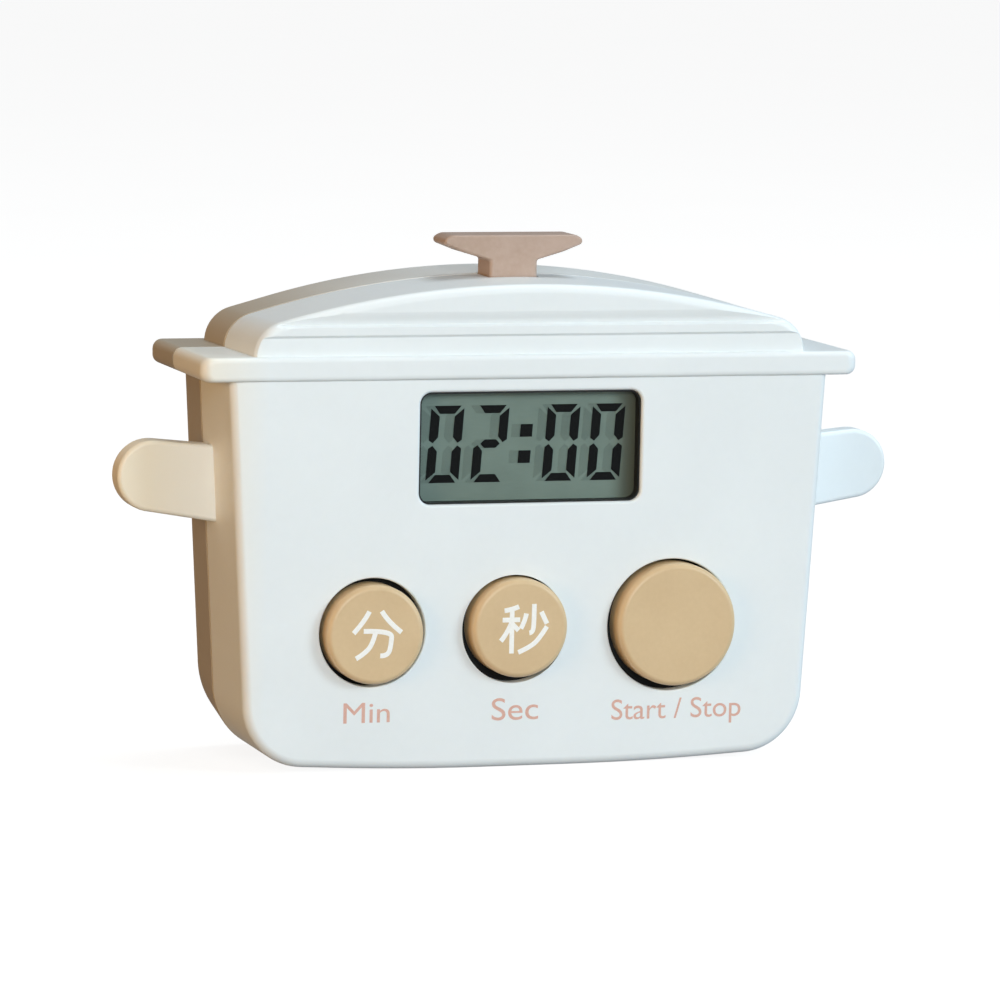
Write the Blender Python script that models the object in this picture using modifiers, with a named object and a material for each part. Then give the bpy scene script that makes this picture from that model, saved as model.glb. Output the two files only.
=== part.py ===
# Digital kitchen timer in the shape of a cooking pot, built as an assembly of separate pieces.
# Metres, +Z up. The front of the pot faces -Y and its base rests on z = 0. The origin is on the
# base, under the middle of the whole timer.

import math

import bmesh
import bpy
from mathutils import Vector

MM = 0.001
WELD_DISTANCE = 0.004 * MM              # points this close are one point
GAP = 0.3 * MM                          # clearance that neighbouring pieces keep

# Depths, from front to back
FACE_Y = -10.05 * MM                    # front face of the pot
SEAM_Y = FACE_Y + 11.7 * MM             # where the two shells meet
BACK_Y = FACE_Y + 20.0 * MM             # back face of the pot
WALL = 1.5 * MM
FACE_EDGE = 0.5 * MM                    # rounding of the front edge
BACK_EDGE = 0.9 * MM
TONGUE_INSET = 0.9 * MM                 # the front shell's tongue, which enters the rear shell
TONGUE_LENGTH = 1.0 * MM

# Outline of pot and lid, as seen from the front
BODY_HALF = 33.5 * MM                   # half width of the pot under its rim, at the seam
SIDE_TAPER = math.radians(3.2)
BOW_X = 13.0 * MM                       # middle of the bow between flat base and corner
BOW_RADIUS = 300.0 * MM
BOW_SLOPE = math.radians(3.06)
LID_HALF = 30.9 * MM                    # half width of the lid, at the seam
LID_CORNER = 3.8 * MM
ARCH_SLOPE = math.radians(15.5)

# How the outline changes with depth: how much narrower pot and lid are, bottom corner, lid's arch and top
FRONT_SHAPE = {"pot": 0.3 * MM, "lid": 0.3 * MM, "heel": 6.8 * MM, "arch": 103.3 * MM, "top": 51.6 * MM}
SEAM_SHAPE = {"pot": 0.0, "lid": 0.0, "heel": 7.4 * MM, "arch": 98.0 * MM, "top": 51.8 * MM}
BACK_SHAPE = {"pot": 0.35 * MM, "lid": -0.2 * MM, "heel": 9.3 * MM, "arch": 90.0 * MM, "top": 52.2 * MM}

# Rim between pot and lid
RIM_HALF = 36.45 * MM
RIM_BOTTOM = 41.6 * MM
RIM_TOP = 44.2 * MM
RIM_FRONT_Y = FACE_Y - 0.5 * MM
RIM_BACK_Y = BACK_Y + 1.6 * MM
RIM_CORNER = 1.0 * MM
RIM_PLAN_CORNER = 1.2 * MM              # corners as seen from above
RIM_EDGE = 0.35 * MM
STEP_Z = RIM_TOP - 0.2 * MM             # height inside the rim where pot changes to lid
LID_RECESS = (44.2 * MM, 46.1 * MM)     # two shallow bands across the lid's face
LID_GROOVE = (47.2 * MM, 48.75 * MM)
BAND_DEPTH = 0.3 * MM

# Handles at the sides
LUG_Y = (FACE_Y + 7.8 * MM, FACE_Y + 10.85 * MM)
LUG_TIP = (39.45 * MM, 30.95 * MM)      # centre of the round end
LUG_TIP_RADIUS = 3.8 * MM
LUG_ROOT_X = 31.7 * MM
LUG_ROOT_Z = (25.8 * MM, 34.0 * MM)
LUG_TILT = math.radians(5.0)
LUG_EDGE = 0.5 * MM

# Knob of the lid
KNOB_Y = (FACE_Y + 7.9 * MM, FACE_Y + 12.6 * MM)
KNOB_TOP = 56.2 * MM
SAUCER_HALF = 8.0 * MM
SAUCER_NOSE_Z = 55.5 * MM               # where the underside meets the round nose
SAUCER_BELLY = (5.0 * MM, 54.3 * MM)
NECK_HALF = 2.67 * MM
NECK_TOP = 53.5 * MM
FOOT_HALF = 5.0 * MM
FOOT_Z = (48.6 * MM, 49.7 * MM)
KNOB_EDGE = 0.35 * MM

# Display
WINDOW_CENTRE = (-0.2 * MM, 34.3 * MM)
WINDOW_SIZE = (24.6 * MM, 11.9 * MM)
WINDOW_CORNER = 1.25 * MM
WINDOW_RECESS = 0.3 * MM
HOLDER_SIZE = (29.0 * MM, 16.4 * MM)
HOLDER_Y = (FACE_Y + 1.8 * MM, FACE_Y + 4.9 * MM)
HOLDER_LIP = 0.6 * MM
GLASS_SIZE = (26.0 * MM, 13.6 * MM)
GLASS_Y = (FACE_Y + 2.7 * MM, FACE_Y + 3.8 * MM)
REFLECTOR_Y = (FACE_Y + 4.1 * MM, FACE_Y + 4.4 * MM)
ZEBRA_HEIGHT = 1.4 * MM

# Buttons: centre x, radius
BUTTONS = {
    "minute": (-17.4 * MM, 5.45 * MM),
    "second": (-1.7 * MM, 5.45 * MM),
    "start_stop": (15.9 * MM, 6.8 * MM),
}
BUTTON_Z = 14.9 * MM
BUTTON_PROUD = 1.5 * MM
BUTTON_EDGE = 0.6 * MM
BUTTON_FLANGE = 0.8 * MM
BUTTON_FLANGE_THICK = 0.6 * MM
PLUNGER_RADIUS = 2.0 * MM
PLUNGER_LENGTH = 0.8 * MM
HOLE_CLEARANCE = 0.35 * MM
SWITCH_RADIUS = 2.4 * MM
SWITCH_Y = (FACE_Y + 4.3 * MM, FACE_Y + 4.9 * MM)

# Circuit board and what sits on it
BOARD_Y = (FACE_Y + 5.2 * MM, FACE_Y + 6.0 * MM)
BOARD_HALF = 24.0 * MM
BOARD_Z = (3.6 * MM, 41.6 * MM)
BOARD_SCREW_X = 21.0 * MM
BOARD_SCREW_Z = 26.0 * MM
BLOB = (-3.0 * MM, 29.0 * MM, 4.5 * MM, 1.3 * MM)        # x, z, radius, height
CRYSTAL = (9.0 * MM, 25.0 * MM, 1.0 * MM, 6.0 * MM)      # x, z, radius, length
CAPACITOR = (15.0 * MM, 31.0 * MM, 2.0 * MM, 5.0 * MM)   # x, z, radius, height

# Case screws
POST_X = 28.0 * MM
POST_ROWS = (24.5 * MM, 38.6 * MM)
FRONT_POST_RADIUS = 2.5 * MM
REAR_POST_RADIUS = 3.0 * MM
SCREW_RADIUS = 0.85 * MM
HEAD_RADIUS = 1.9 * MM
HEAD_HEIGHT = 1.3 * MM
HEAD_SEAT_Y = FACE_Y + 13.8 * MM
SCREW_TIP_Y = FACE_Y + 5.3 * MM

# Battery, an AAA cell lying across the back
CELL_RADIUS = 5.25 * MM
CELL_LENGTH = 44.5 * MM
CELL_Y = FACE_Y + 13.05 * MM
CELL_Z = 12.0 * MM
NUB_RADIUS = 1.9 * MM
NUB_LENGTH = 0.8 * MM
CELL_TIP_X = 24.0 * MM
BAY_HALF = (25.0 * MM, 5.7 * MM)        # hollow for the cell, half width and half height
BAY_FLOOR_Y = FACE_Y + 7.5 * MM
BAY_WALL = 1.0 * MM
PLATE_THICK = 0.4 * MM
PLATE_Y = (FACE_Y + 10.3 * MM, FACE_Y + 15.8 * MM)
PLATE_Z = (7.5 * MM, 20.8 * MM)
SPRING_WIRE = 0.3 * MM
SPRING_RADII = (3.6 * MM, 2.4 * MM)
SPRING_TURNS = 3.5
DOOR_HALF = (26.0 * MM, 6.6 * MM)
DOOR_THICK = 1.3 * MM
DOOR_CORNER = 1.2 * MM
HINGE_X = -26.4 * MM                    # line about which the door swings on its tabs
TAB_LENGTH = 1.1 * MM
TAB_HALF = 2.0 * MM
TAB_THICK = 0.6 * MM
GRIP_DEPTH = 0.3 * MM                   # grooves for the thumb
GRIP_HALF = 3.0 * MM
TAB_ROWS = (8.6 * MM, 15.4 * MM)
NOTCH_RADIUS = 3.0 * MM

# Sounder and magnets in the back
BUZZER_Z = 31.0 * MM
BUZZER_RADIUS = 10.0 * MM
CERAMIC_RADIUS = 7.0 * MM
RING_THICK = 1.4 * MM
RING_HEIGHT = 1.5 * MM
SLOT_PITCH = 2.4 * MM
SLOT_SIZE = (1.0 * MM, 8.0 * MM)
MAGNET_X = 20.0 * MM
MAGNET_Z = 31.5 * MM
MAGNET_RADIUS = 4.6 * MM
MAGNET_THICK = 3.0 * MM
MAGNET_RIM = 5.9 * MM
MAGNET_RIM_Y = RIM_BACK_Y - GAP
WIRE_RADIUS = 0.4 * MM

FACING_FRONT = (math.pi / 2, 0.0, 0.0)  # turns a local +Z axis to -Y
FACING_BACK = (-math.pi / 2, 0.0, 0.0)
ALONG_X = (0.0, math.pi / 2, 0.0)

# Colour, roughness and metallic value of each material
MATERIALS = {
    "ivory_plastic": ((0.86, 0.85, 0.81), 0.38, 0.0),
    "camel_plastic": ((0.58, 0.37, 0.21), 0.42, 0.0),
    "dusty_pink_plastic": ((0.54, 0.37, 0.29), 0.45, 0.0),
    "clear_acrylic": ((0.92, 0.94, 0.93), 0.05, 0.0),
    "black_plastic": ((0.02, 0.02, 0.02), 0.5, 0.0),
    "display_glass": ((0.21, 0.26, 0.23), 0.15, 0.0),
    "reflector_film": ((0.62, 0.64, 0.6), 0.3, 0.6),
    "rubber": ((0.08, 0.08, 0.09), 0.8, 0.0),
    "board_laminate": ((0.03, 0.2, 0.08), 0.5, 0.0),
    "epoxy": ((0.015, 0.015, 0.015), 0.35, 0.0),
    "nickel_steel": ((0.68, 0.67, 0.64), 0.25, 1.0),
    "brass": ((0.78, 0.6, 0.28), 0.3, 1.0),
    "ceramic": ((0.8, 0.78, 0.72), 0.6, 0.0),
    "battery_sleeve": ((0.12, 0.14, 0.2), 0.35, 0.2),
    "magnet_steel": ((0.25, 0.25, 0.26), 0.4, 0.9),
    "red_insulation": ((0.55, 0.03, 0.02), 0.5, 0.0),
    "black_insulation": ((0.02, 0.02, 0.02), 0.5, 0.0),
}


# ---- scene set-up ----------------------------------------------------------------------------

def new_collection(name):
    collection = bpy.data.collections.new(name)
    bpy.context.scene.collection.children.link(collection)
    return collection


def material(name):
    found = bpy.data.materials.get(name)
    if found:
        return found
    color, roughness, metallic = MATERIALS[name]
    made = bpy.data.materials.new(name)
    made.use_nodes = True
    shader = made.node_tree.nodes["Principled BSDF"]
    shader.inputs["Base Color"].default_value = (*color, 1.0)
    shader.inputs["Roughness"].default_value = roughness
    shader.inputs["Metallic"].default_value = metallic
    return made


def place(obj, material_name=None):
    # A piece has a material and goes with the timer, a cutter or an added shape has none.
    if material_name:
        PIECES.objects.link(obj)
        obj.data.materials.append(material(material_name))
    else:
        TOOLS.objects.link(obj)
        obj.hide_render = True
        obj.display_type = "WIRE"
    return obj


# ---- outlines, as lists of (x, z) ------------------------------------------------------------

def rounded(corners):
    # Each corner is (x, z, radius, steps), and radius 0 keeps it sharp.
    points = []
    for index, (x, z, radius, steps) in enumerate(corners):
        here = Vector((x, z))
        back = (Vector(corners[index - 1][:2]) - here).normalized()
        ahead = (Vector(corners[(index + 1) % len(corners)][:2]) - here).normalized()
        if radius <= 0:
            points.append(here)
            continue
        turn = math.pi - back.angle(ahead)
        centre = here + (back + ahead).normalized() * radius / math.cos(turn / 2)
        start = here + back * radius * math.tan(turn / 2) - centre
        sweep = math.copysign(turn, back.x * ahead.y - back.y * ahead.x)
        for step in range(steps + 1):
            angle = -sweep * step / steps
            points.append(centre + Vector((
                start.x * math.cos(angle) - start.y * math.sin(angle),
                start.x * math.sin(angle) + start.y * math.cos(angle))))
    return points


def rectangle(centre, size, radius=0.0, steps=4):
    half_x = size[0] / 2
    half_z = size[1] / 2
    signs = ((1, -1), (1, 1), (-1, 1), (-1, -1))
    return rounded([(centre[0] + half_x * sx, centre[1] + half_z * sz, radius, steps) for sx, sz in signs])


def side_x(z):
    return BODY_HALF - (RIM_BOTTOM - z) * math.tan(SIDE_TAPER)


def pot_outline(inset, shape):
    # Pot and lid in one outline.
    pot_inset = inset + shape["pot"]
    lid_half = LID_HALF - inset - shape["lid"]
    heel_z = inset + (side_x(0.0) - BOW_X) * math.tan(BOW_SLOPE)
    arch_radius = shape["arch"] - inset
    peak = shape["top"] - inset + arch_radius * (1 / math.cos(ARCH_SLOPE) - 1)
    shoulder = peak - lid_half * math.tan(ARCH_SLOPE)
    half = [
        (BOW_X, inset, BOW_RADIUS, 4),
        (side_x(heel_z) - pot_inset, heel_z, shape["heel"] - inset, 7),
        (side_x(STEP_Z) - pot_inset, STEP_Z - inset, 0.0, 0),
        (lid_half, STEP_Z - inset, 0.0, 0),
        (lid_half, shoulder, LID_CORNER - inset, 5),
    ]
    other_half = [(-x, z, radius, steps) for x, z, radius, steps in reversed(half)]
    return rounded(half + [(0.0, peak, arch_radius, 16)] + other_half)


def lug_outline(side, inset):
    tip_x, tip_z = LUG_TIP
    radius = LUG_TIP_RADIUS - inset
    points = [Vector((side * LUG_ROOT_X, LUG_ROOT_Z[0] + inset))]
    for step in range(13):
        angle = LUG_TILT + math.pi * (step / 12 - 0.5)
        points.append(Vector((side * (tip_x + radius * math.cos(angle)), tip_z + radius * math.sin(angle))))
    points.append(Vector((side * LUG_ROOT_X, LUG_ROOT_Z[1] - inset)))
    return points


def knob_outline():
    # Half outline from the foot inside the lid up to the middle of the saucer's top.
    half = [
        (FOOT_HALF, FOOT_Z[0], 0.0, 0),
        (FOOT_HALF, FOOT_Z[1], 0.0, 0),
        (NECK_HALF, FOOT_Z[1], 0.0, 0),
        (NECK_HALF, NECK_TOP, 0.0, 0),
        (*SAUCER_BELLY, 8.0 * MM, 3),
        (SAUCER_HALF - 0.05 * MM, SAUCER_NOSE_Z, 0.45 * MM, 4),
        (SAUCER_HALF, KNOB_TOP, 0.38 * MM, 4),
    ]
    other_half = [(-x, z, radius, steps) for x, z, radius, steps in reversed(half)]
    return rounded(half + other_half)


# ---- solids ----------------------------------------------------------------------------------

def finish_mesh(name, bm, material_name):
    bmesh.ops.recalc_face_normals(bm, faces=bm.faces)
    mesh = bpy.data.meshes.new(name)
    bm.to_mesh(mesh)
    bm.free()
    return place(bpy.data.objects.new(name, mesh), material_name)


def loft(name, sections, material_name=None):
    # Skin over outlines of equal point count, each at its own depth y, closed at both ends.
    bm = bmesh.new()
    rings = [[bm.verts.new((x, y, z)) for x, z in outline] for y, outline in sections]
    for near, far in zip(rings, rings[1:]):
        for index in range(len(near)):
            bm.faces.new((near[index - 1], near[index], far[index], far[index - 1]))
    bmesh.ops.triangulate(bm, faces=bm.faces)
    bm.faces.new(rings[0])
    bm.faces.new(rings[-1])
    return finish_mesh(name, bm, material_name)


def edge_sections(end_y, inward, radius, outline_at):
    # Sections of a quarter-round edge that starts at the end face and runs inward, +1 or -1 along Y.
    sections = []
    steps = 3
    for step in range(steps + 1):
        angle = math.pi / 2 * step / steps
        y = end_y + inward * radius * (1 - math.cos(angle))
        sections.append((y, outline_at(radius * (1 - math.sin(angle)))))
    return sections


def plate(name, outline, y_range, material_name=None, edge=0.0):
    # Flat outline with real thickness, from a filled 2D curve lying in the XZ plane.
    curve = bpy.data.curves.new(name, "CURVE")
    curve.dimensions = "2D"
    curve.fill_mode = "BOTH"
    curve.extrude = (y_range[1] - y_range[0]) / 2 - edge
    curve.bevel_depth = edge
    curve.bevel_resolution = 1
    curve.offset = -edge
    spline = curve.splines.new("POLY")
    spline.points.add(len(outline) - 1)
    for point, (x, z) in zip(spline.points, outline):
        point.co = (x, z, 0.0, 1.0)
    spline.use_cyclic_u = True
    location = (0.0, (y_range[0] + y_range[1]) / 2, 0.0)
    return curve_to_mesh(name, curve, location, FACING_FRONT, material_name)


def curve_to_mesh(name, curve, location, rotation, material_name):
    # Replaces a curve by its mesh in world space, with the loose caps welded on.
    guide = bpy.data.objects.new(name + "_curve", curve)
    guide.location = location
    guide.rotation_euler = rotation
    TOOLS.objects.link(guide)
    bpy.context.view_layer.update()
    depsgraph = bpy.context.evaluated_depsgraph_get()
    mesh = bpy.data.meshes.new_from_object(guide.evaluated_get(depsgraph))
    mesh.transform(guide.matrix_world)
    bm = bmesh.new()
    bm.from_mesh(mesh)
    bmesh.ops.remove_doubles(bm, verts=bm.verts, dist=0.01 * MM)
    bpy.data.objects.remove(guide)
    bpy.data.meshes.remove(mesh)
    return finish_mesh(name, bm, material_name)


def wire(name, points, radius, material_name):
    curve = bpy.data.curves.new(name, "CURVE")
    curve.dimensions = "3D"
    curve.bevel_depth = radius
    curve.bevel_resolution = 2
    curve.use_fill_caps = True
    spline = curve.splines.new("POLY")
    spline.points.add(len(points) - 1)
    for point, position in zip(spline.points, points):
        point.co = (*position, 1.0)
    return curve_to_mesh(name, curve, (0.0, 0.0, 0.0), (0.0, 0.0, 0.0), material_name)


def smooth_path(route, steps=4):
    # Points along a Catmull-Rom curve through the route's own points.
    ends = [Vector(point) for point in (route[0], *route, route[-1])]
    points = []
    for index in range(1, len(ends) - 2):
        a, b, c, d = ends[index - 1:index + 3]
        for step in range(steps):
            t = step / steps
            points.append(0.5 * (2 * b + (c - a) * t + (2 * a - 5 * b + 4 * c - d) * t ** 2
                                 + (3 * b - a - 3 * c + d) * t ** 3))
    points.append(ends[-2])
    return points


def turned(name, profile, location, rotation, material_name=None, segments=32):
    # Profile of (radius, height) pairs, from the top of the axis down its outer side to the bottom.
    mesh = bpy.data.meshes.new(name)
    verts = [(radius, 0.0, height) for radius, height in profile]
    edges = [(index, index + 1) for index in range(len(verts) - 1)]
    mesh.from_pydata(verts, edges, [])
    obj = bpy.data.objects.new(name, mesh)
    obj.location = location
    obj.rotation_euler = rotation
    screw = obj.modifiers.new("turn", "SCREW")
    screw.axis = "Z"
    screw.angle = 2 * math.pi
    screw.steps = segments
    screw.render_steps = segments
    screw.use_merge_vertices = True
    screw.merge_threshold = 0.01 * MM
    screw.use_smooth_shade = True
    return place(obj, material_name)


def disc(name, x, z, radius, y_range, material_name=None, segments=32):
    # Plain cylinder along Y.
    depth = y_range[1] - y_range[0]
    profile = [(0.0, depth), (radius, depth), (radius, 0.0), (0.0, 0.0)]
    return turned(name, profile, (x, y_range[1], z), FACING_FRONT, material_name, segments)


def block(name, x_range, y_range, z_range, material_name=None):
    bm = bmesh.new()
    bmesh.ops.create_cube(bm, size=1.0)
    ranges = (x_range, y_range, z_range)
    bmesh.ops.scale(bm, vec=[high - low for low, high in ranges], verts=bm.verts)
    bmesh.ops.translate(bm, vec=[(low + high) / 2 for low, high in ranges], verts=bm.verts)
    return finish_mesh(name, bm, material_name)


def combine(target, other, operation):
    boolean = target.modifiers.new(other.name, "BOOLEAN")
    boolean.operation = operation
    boolean.solver = "EXACT"
    boolean.object = other


def cut(target, other):
    combine(target, other, "DIFFERENCE")


def add(target, other):
    combine(target, other, "UNION")


def weld(target):
    # Merges the points that a cut leaves within a hair of each other.
    modifier = target.modifiers.new("weld", "WELD")
    modifier.merge_threshold = WELD_DISTANCE



# ---- shells ----------------------------------------------------------------------------------

def rim_outline(inset_x, inset_z):
    centre = (0.0, (RIM_BOTTOM + RIM_TOP) / 2)
    size = (2 * (RIM_HALF - inset_x), RIM_TOP - RIM_BOTTOM - 2 * inset_z)
    return rectangle(centre, size, RIM_CORNER - inset_z, 4)


def rim_sections(end_y, inward):
    # The ends are round in plan, while the long edges are only slightly rounded.
    sections = []
    steps = 4
    for step in range(steps + 1):
        angle = math.pi / 2 * step / steps
        y = end_y + inward * RIM_PLAN_CORNER * (1 - math.cos(angle))
        short = 1 - math.sin(angle)
        sections.append((y, rim_outline(RIM_PLAN_CORNER * short, RIM_EDGE * short ** 3)))
    return sections


def post_positions():
    return [(side * POST_X, z) for z in POST_ROWS for side in (-1, 1)]


def cut_knob_slot(shell, label):
    slot = block("knob_slot_" + label, (-NECK_HALF - GAP, NECK_HALF + GAP),
                 (KNOB_Y[0] - GAP, KNOB_Y[1] + GAP), (FOOT_Z[1], NECK_TOP))
    cut(shell, slot)


def build_front_shell():
    end_y = SEAM_Y - GAP / 2
    sections = edge_sections(FACE_Y, 1, FACE_EDGE, lambda inset: pot_outline(inset, FRONT_SHAPE))
    sections += [
        (end_y, pot_outline(0.0, SEAM_SHAPE)),
        (end_y, pot_outline(TONGUE_INSET, SEAM_SHAPE)),
        (SEAM_Y + TONGUE_LENGTH, pot_outline(TONGUE_INSET, SEAM_SHAPE)),
    ]
    shell = loft("front_shell", sections, "ivory_plastic")
    rim = rim_sections(RIM_FRONT_Y, 1) + [(end_y, rim_outline(0.0, 0.0))]
    add(shell, loft("front_rim", rim))
    for side, label in ((-1, "left"), (1, "right")):
        sections = edge_sections(LUG_Y[0], 1, LUG_EDGE, lambda inset: lug_outline(side, inset))
        sections += reversed(edge_sections(LUG_Y[1], -1, LUG_EDGE, lambda inset: lug_outline(side, inset)))
        add(shell, loft("lug_" + label, sections))
    cut(shell, loft("front_hollow", [
        (FACE_Y + WALL, pot_outline(WALL, FRONT_SHAPE)),
        (SEAM_Y + 2 * TONGUE_LENGTH, pot_outline(WALL, SEAM_SHAPE))]))
    cut_lid_bands(shell)
    cut_front_openings(shell)
    add_front_posts(shell)
    cut_knob_slot(shell, "front")
    return shell


def cut_lid_bands(shell):
    for label, (low, high) in (("recess", LID_RECESS), ("groove", LID_GROOVE)):
        band = block("lid_" + label, (-RIM_HALF, RIM_HALF), (FACE_Y - MM, FACE_Y + BAND_DEPTH), (low, high))
        cut(shell, band)


def cut_front_openings(shell):
    through = (FACE_Y - 2 * MM, FACE_Y + 2 * WALL)
    window = rectangle(WINDOW_CENTRE, WINDOW_SIZE, WINDOW_CORNER)
    cut(shell, plate("window_opening", window, through))
    for name, (x, radius) in BUTTONS.items():
        cut(shell, disc(name + "_hole", x, BUTTON_Z, radius + HOLE_CLEARANCE, through, segments=40))


def add_front_posts(shell):
    root_y = FACE_Y + WALL / 2
    top_y = SEAM_Y - GAP
    for index, (x, z) in enumerate(post_positions()):
        add(shell, disc("front_post_%d" % index, x, z, FRONT_POST_RADIUS, (root_y, top_y), segments=20))
        depth = (SCREW_TIP_Y - MM, top_y + MM)
        pilot = disc("pilot_%d" % index, x, z, SCREW_RADIUS + GAP, depth, segments=16)
        cut(shell, pilot)
    for side in (-1, 1):
        x = side * BOARD_SCREW_X
        top = BOARD_Y[0] - GAP
        add(shell, disc("board_post_%d" % side, x, BOARD_SCREW_Z, 1.8 * MM, (root_y, top), segments=16))
        hole = (FACE_Y + WALL, top + MM)
        cut(shell, disc("board_pilot_%d" % side, x, BOARD_SCREW_Z, 0.9 * MM, hole, segments=12))


def build_rear_shell():
    start_y = SEAM_Y + GAP / 2
    edge = edge_sections(BACK_Y, -1, BACK_EDGE, lambda inset: pot_outline(inset, BACK_SHAPE))
    sections = [(start_y, pot_outline(0.0, SEAM_SHAPE)), *reversed(edge)]
    shell = loft("rear_shell", sections, "ivory_plastic")
    rim = [(start_y, rim_outline(0.0, 0.0)), *reversed(rim_sections(RIM_BACK_Y, -1))]
    add(shell, loft("rear_rim", rim))
    inner_y = BACK_Y - WALL
    cut(shell, loft("rear_hollow", [
        (SEAM_Y - MM, pot_outline(WALL, SEAM_SHAPE)),
        (inner_y, pot_outline(WALL, BACK_SHAPE))]))
    cut(shell, loft("tongue_rebate", [
        (SEAM_Y - MM, pot_outline(TONGUE_INSET - GAP, SEAM_SHAPE)),
        (SEAM_Y + TONGUE_LENGTH + GAP, pot_outline(TONGUE_INSET - GAP, SEAM_SHAPE))]))
    add_battery_bay(shell, inner_y)
    add_rear_posts(shell, inner_y)
    add_buzzer_ring(shell, inner_y)
    add_magnet_seats(shell, inner_y)
    cut_knob_slot(shell, "rear")
    weld(shell)
    return shell


def around_cell(grow_x, grow_z):
    # X and Z ranges of a box centred on the battery bay.
    x_range = (-BAY_HALF[0] - grow_x, BAY_HALF[0] + grow_x)
    z_range = (CELL_Z - BAY_HALF[1] - grow_z, CELL_Z + BAY_HALF[1] + grow_z)
    return x_range, z_range


def add_battery_bay(shell, inner_y):
    ledge_y = BACK_Y - DOOR_THICK - GAP
    outer_x, outer_z = around_cell(BAY_WALL + 0.9 * MM, BAY_WALL + 0.6 * MM)
    add(shell, block("bay_box", outer_x, (BAY_FLOOR_Y - BAY_WALL, inner_y + WALL / 2), outer_z))
    bay_x, bay_z = around_cell(0.0, 0.0)
    cut(shell, block("bay_hollow", bay_x, (BAY_FLOOR_Y, BACK_Y + MM), bay_z))
    opening_size = (2 * (DOOR_HALF[0] + GAP), 2 * (DOOR_HALF[1] + GAP))
    opening = rectangle((0.0, CELL_Z), opening_size, DOOR_CORNER + GAP)
    cut(shell, plate("door_opening", opening, (ledge_y, BACK_Y + MM)))
    for row, z in enumerate(TAB_ROWS):
        pocket_x = (-DOOR_HALF[0] - TAB_LENGTH - 2 * GAP, -DOOR_HALF[0])
        pocket_z = (z - TAB_HALF - GAP, z + TAB_HALF + GAP)
        cut(shell, block("tab_pocket_%d" % row, pocket_x, (ledge_y - 2 * GAP, BACK_Y - 1.3 * GAP), pocket_z))
    notch_y = (BACK_Y - MM, BACK_Y + MM)
    notch = disc("thumb_notch", DOOR_HALF[0] + GAP, CELL_Z, NOTCH_RADIUS, notch_y, segments=24)
    cut(shell, notch)
    for side in (-1, 1):
        edge_x = side * (BAY_HALF[0] - GAP - PLATE_THICK / 2)
        slit_x = (edge_x - PLATE_THICK / 2 - GAP, edge_x + PLATE_THICK / 2 + GAP)
        slit_y = (PLATE_Y[0] - GAP, PLATE_Y[1] + GAP)
        cut(shell, block("contact_slit_%d" % side, slit_x, slit_y, (bay_z[1] - MM, outer_z[1] + MM)))


def add_rear_posts(shell, inner_y):
    for index, (x, z) in enumerate(post_positions()):
        foot_y = SEAM_Y + GAP
        post_y = (foot_y, inner_y + WALL / 2)
        add(shell, disc("rear_post_%d" % index, x, z, REAR_POST_RADIUS, post_y, segments=20))
        bore = disc("screw_bore_%d" % index, x, z, SCREW_RADIUS + GAP, (foot_y - MM, BACK_Y), segments=16)
        cut(shell, bore)
        well = (HEAD_SEAT_Y, BACK_Y + MM)
        cut(shell, disc("screw_well_%d" % index, x, z, HEAD_RADIUS + GAP, well, segments=20))


def add_buzzer_ring(shell, inner_y):
    ring_y = (inner_y - RING_HEIGHT, inner_y + WALL / 2)
    add(shell, disc("buzzer_ring", 0.0, BUZZER_Z, BUZZER_RADIUS + 0.4 * MM, ring_y, segments=32))
    bowl_y = (ring_y[0] - MM, inner_y)
    cut(shell, disc("buzzer_bowl", 0.0, BUZZER_Z, BUZZER_RADIUS - RING_THICK, bowl_y, segments=32))
    for index in range(-2, 3):
        x = index * SLOT_PITCH
        slot = rectangle((x, BUZZER_Z), SLOT_SIZE, 0.45 * SLOT_SIZE[0], 3)
        cut(shell, plate("sound_slot_%d" % index, slot, (inner_y - MM, BACK_Y + MM)))


def add_magnet_seats(shell, inner_y):
    floor_y = RIM_BACK_Y - MAGNET_THICK - GAP
    for side in (-1, 1):
        x = side * MAGNET_X
        seat = (floor_y - BAY_WALL, MAGNET_RIM_Y)
        add(shell, disc("magnet_seat_%d" % side, x, MAGNET_Z, MAGNET_RIM, seat, segments=28))
        pocket = (floor_y, MAGNET_RIM_Y + MM)
        cut(shell, disc("magnet_pocket_%d" % side, x, MAGNET_Z, MAGNET_RADIUS + GAP, pocket, segments=28))


def build_knob():
    return plate("knob", knob_outline(), KNOB_Y, "dusty_pink_plastic", KNOB_EDGE)


# ---- display ---------------------------------------------------------------------------------

def grown(size, amount):
    return (size[0] + 2 * amount, size[1] + 2 * amount)


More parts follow.
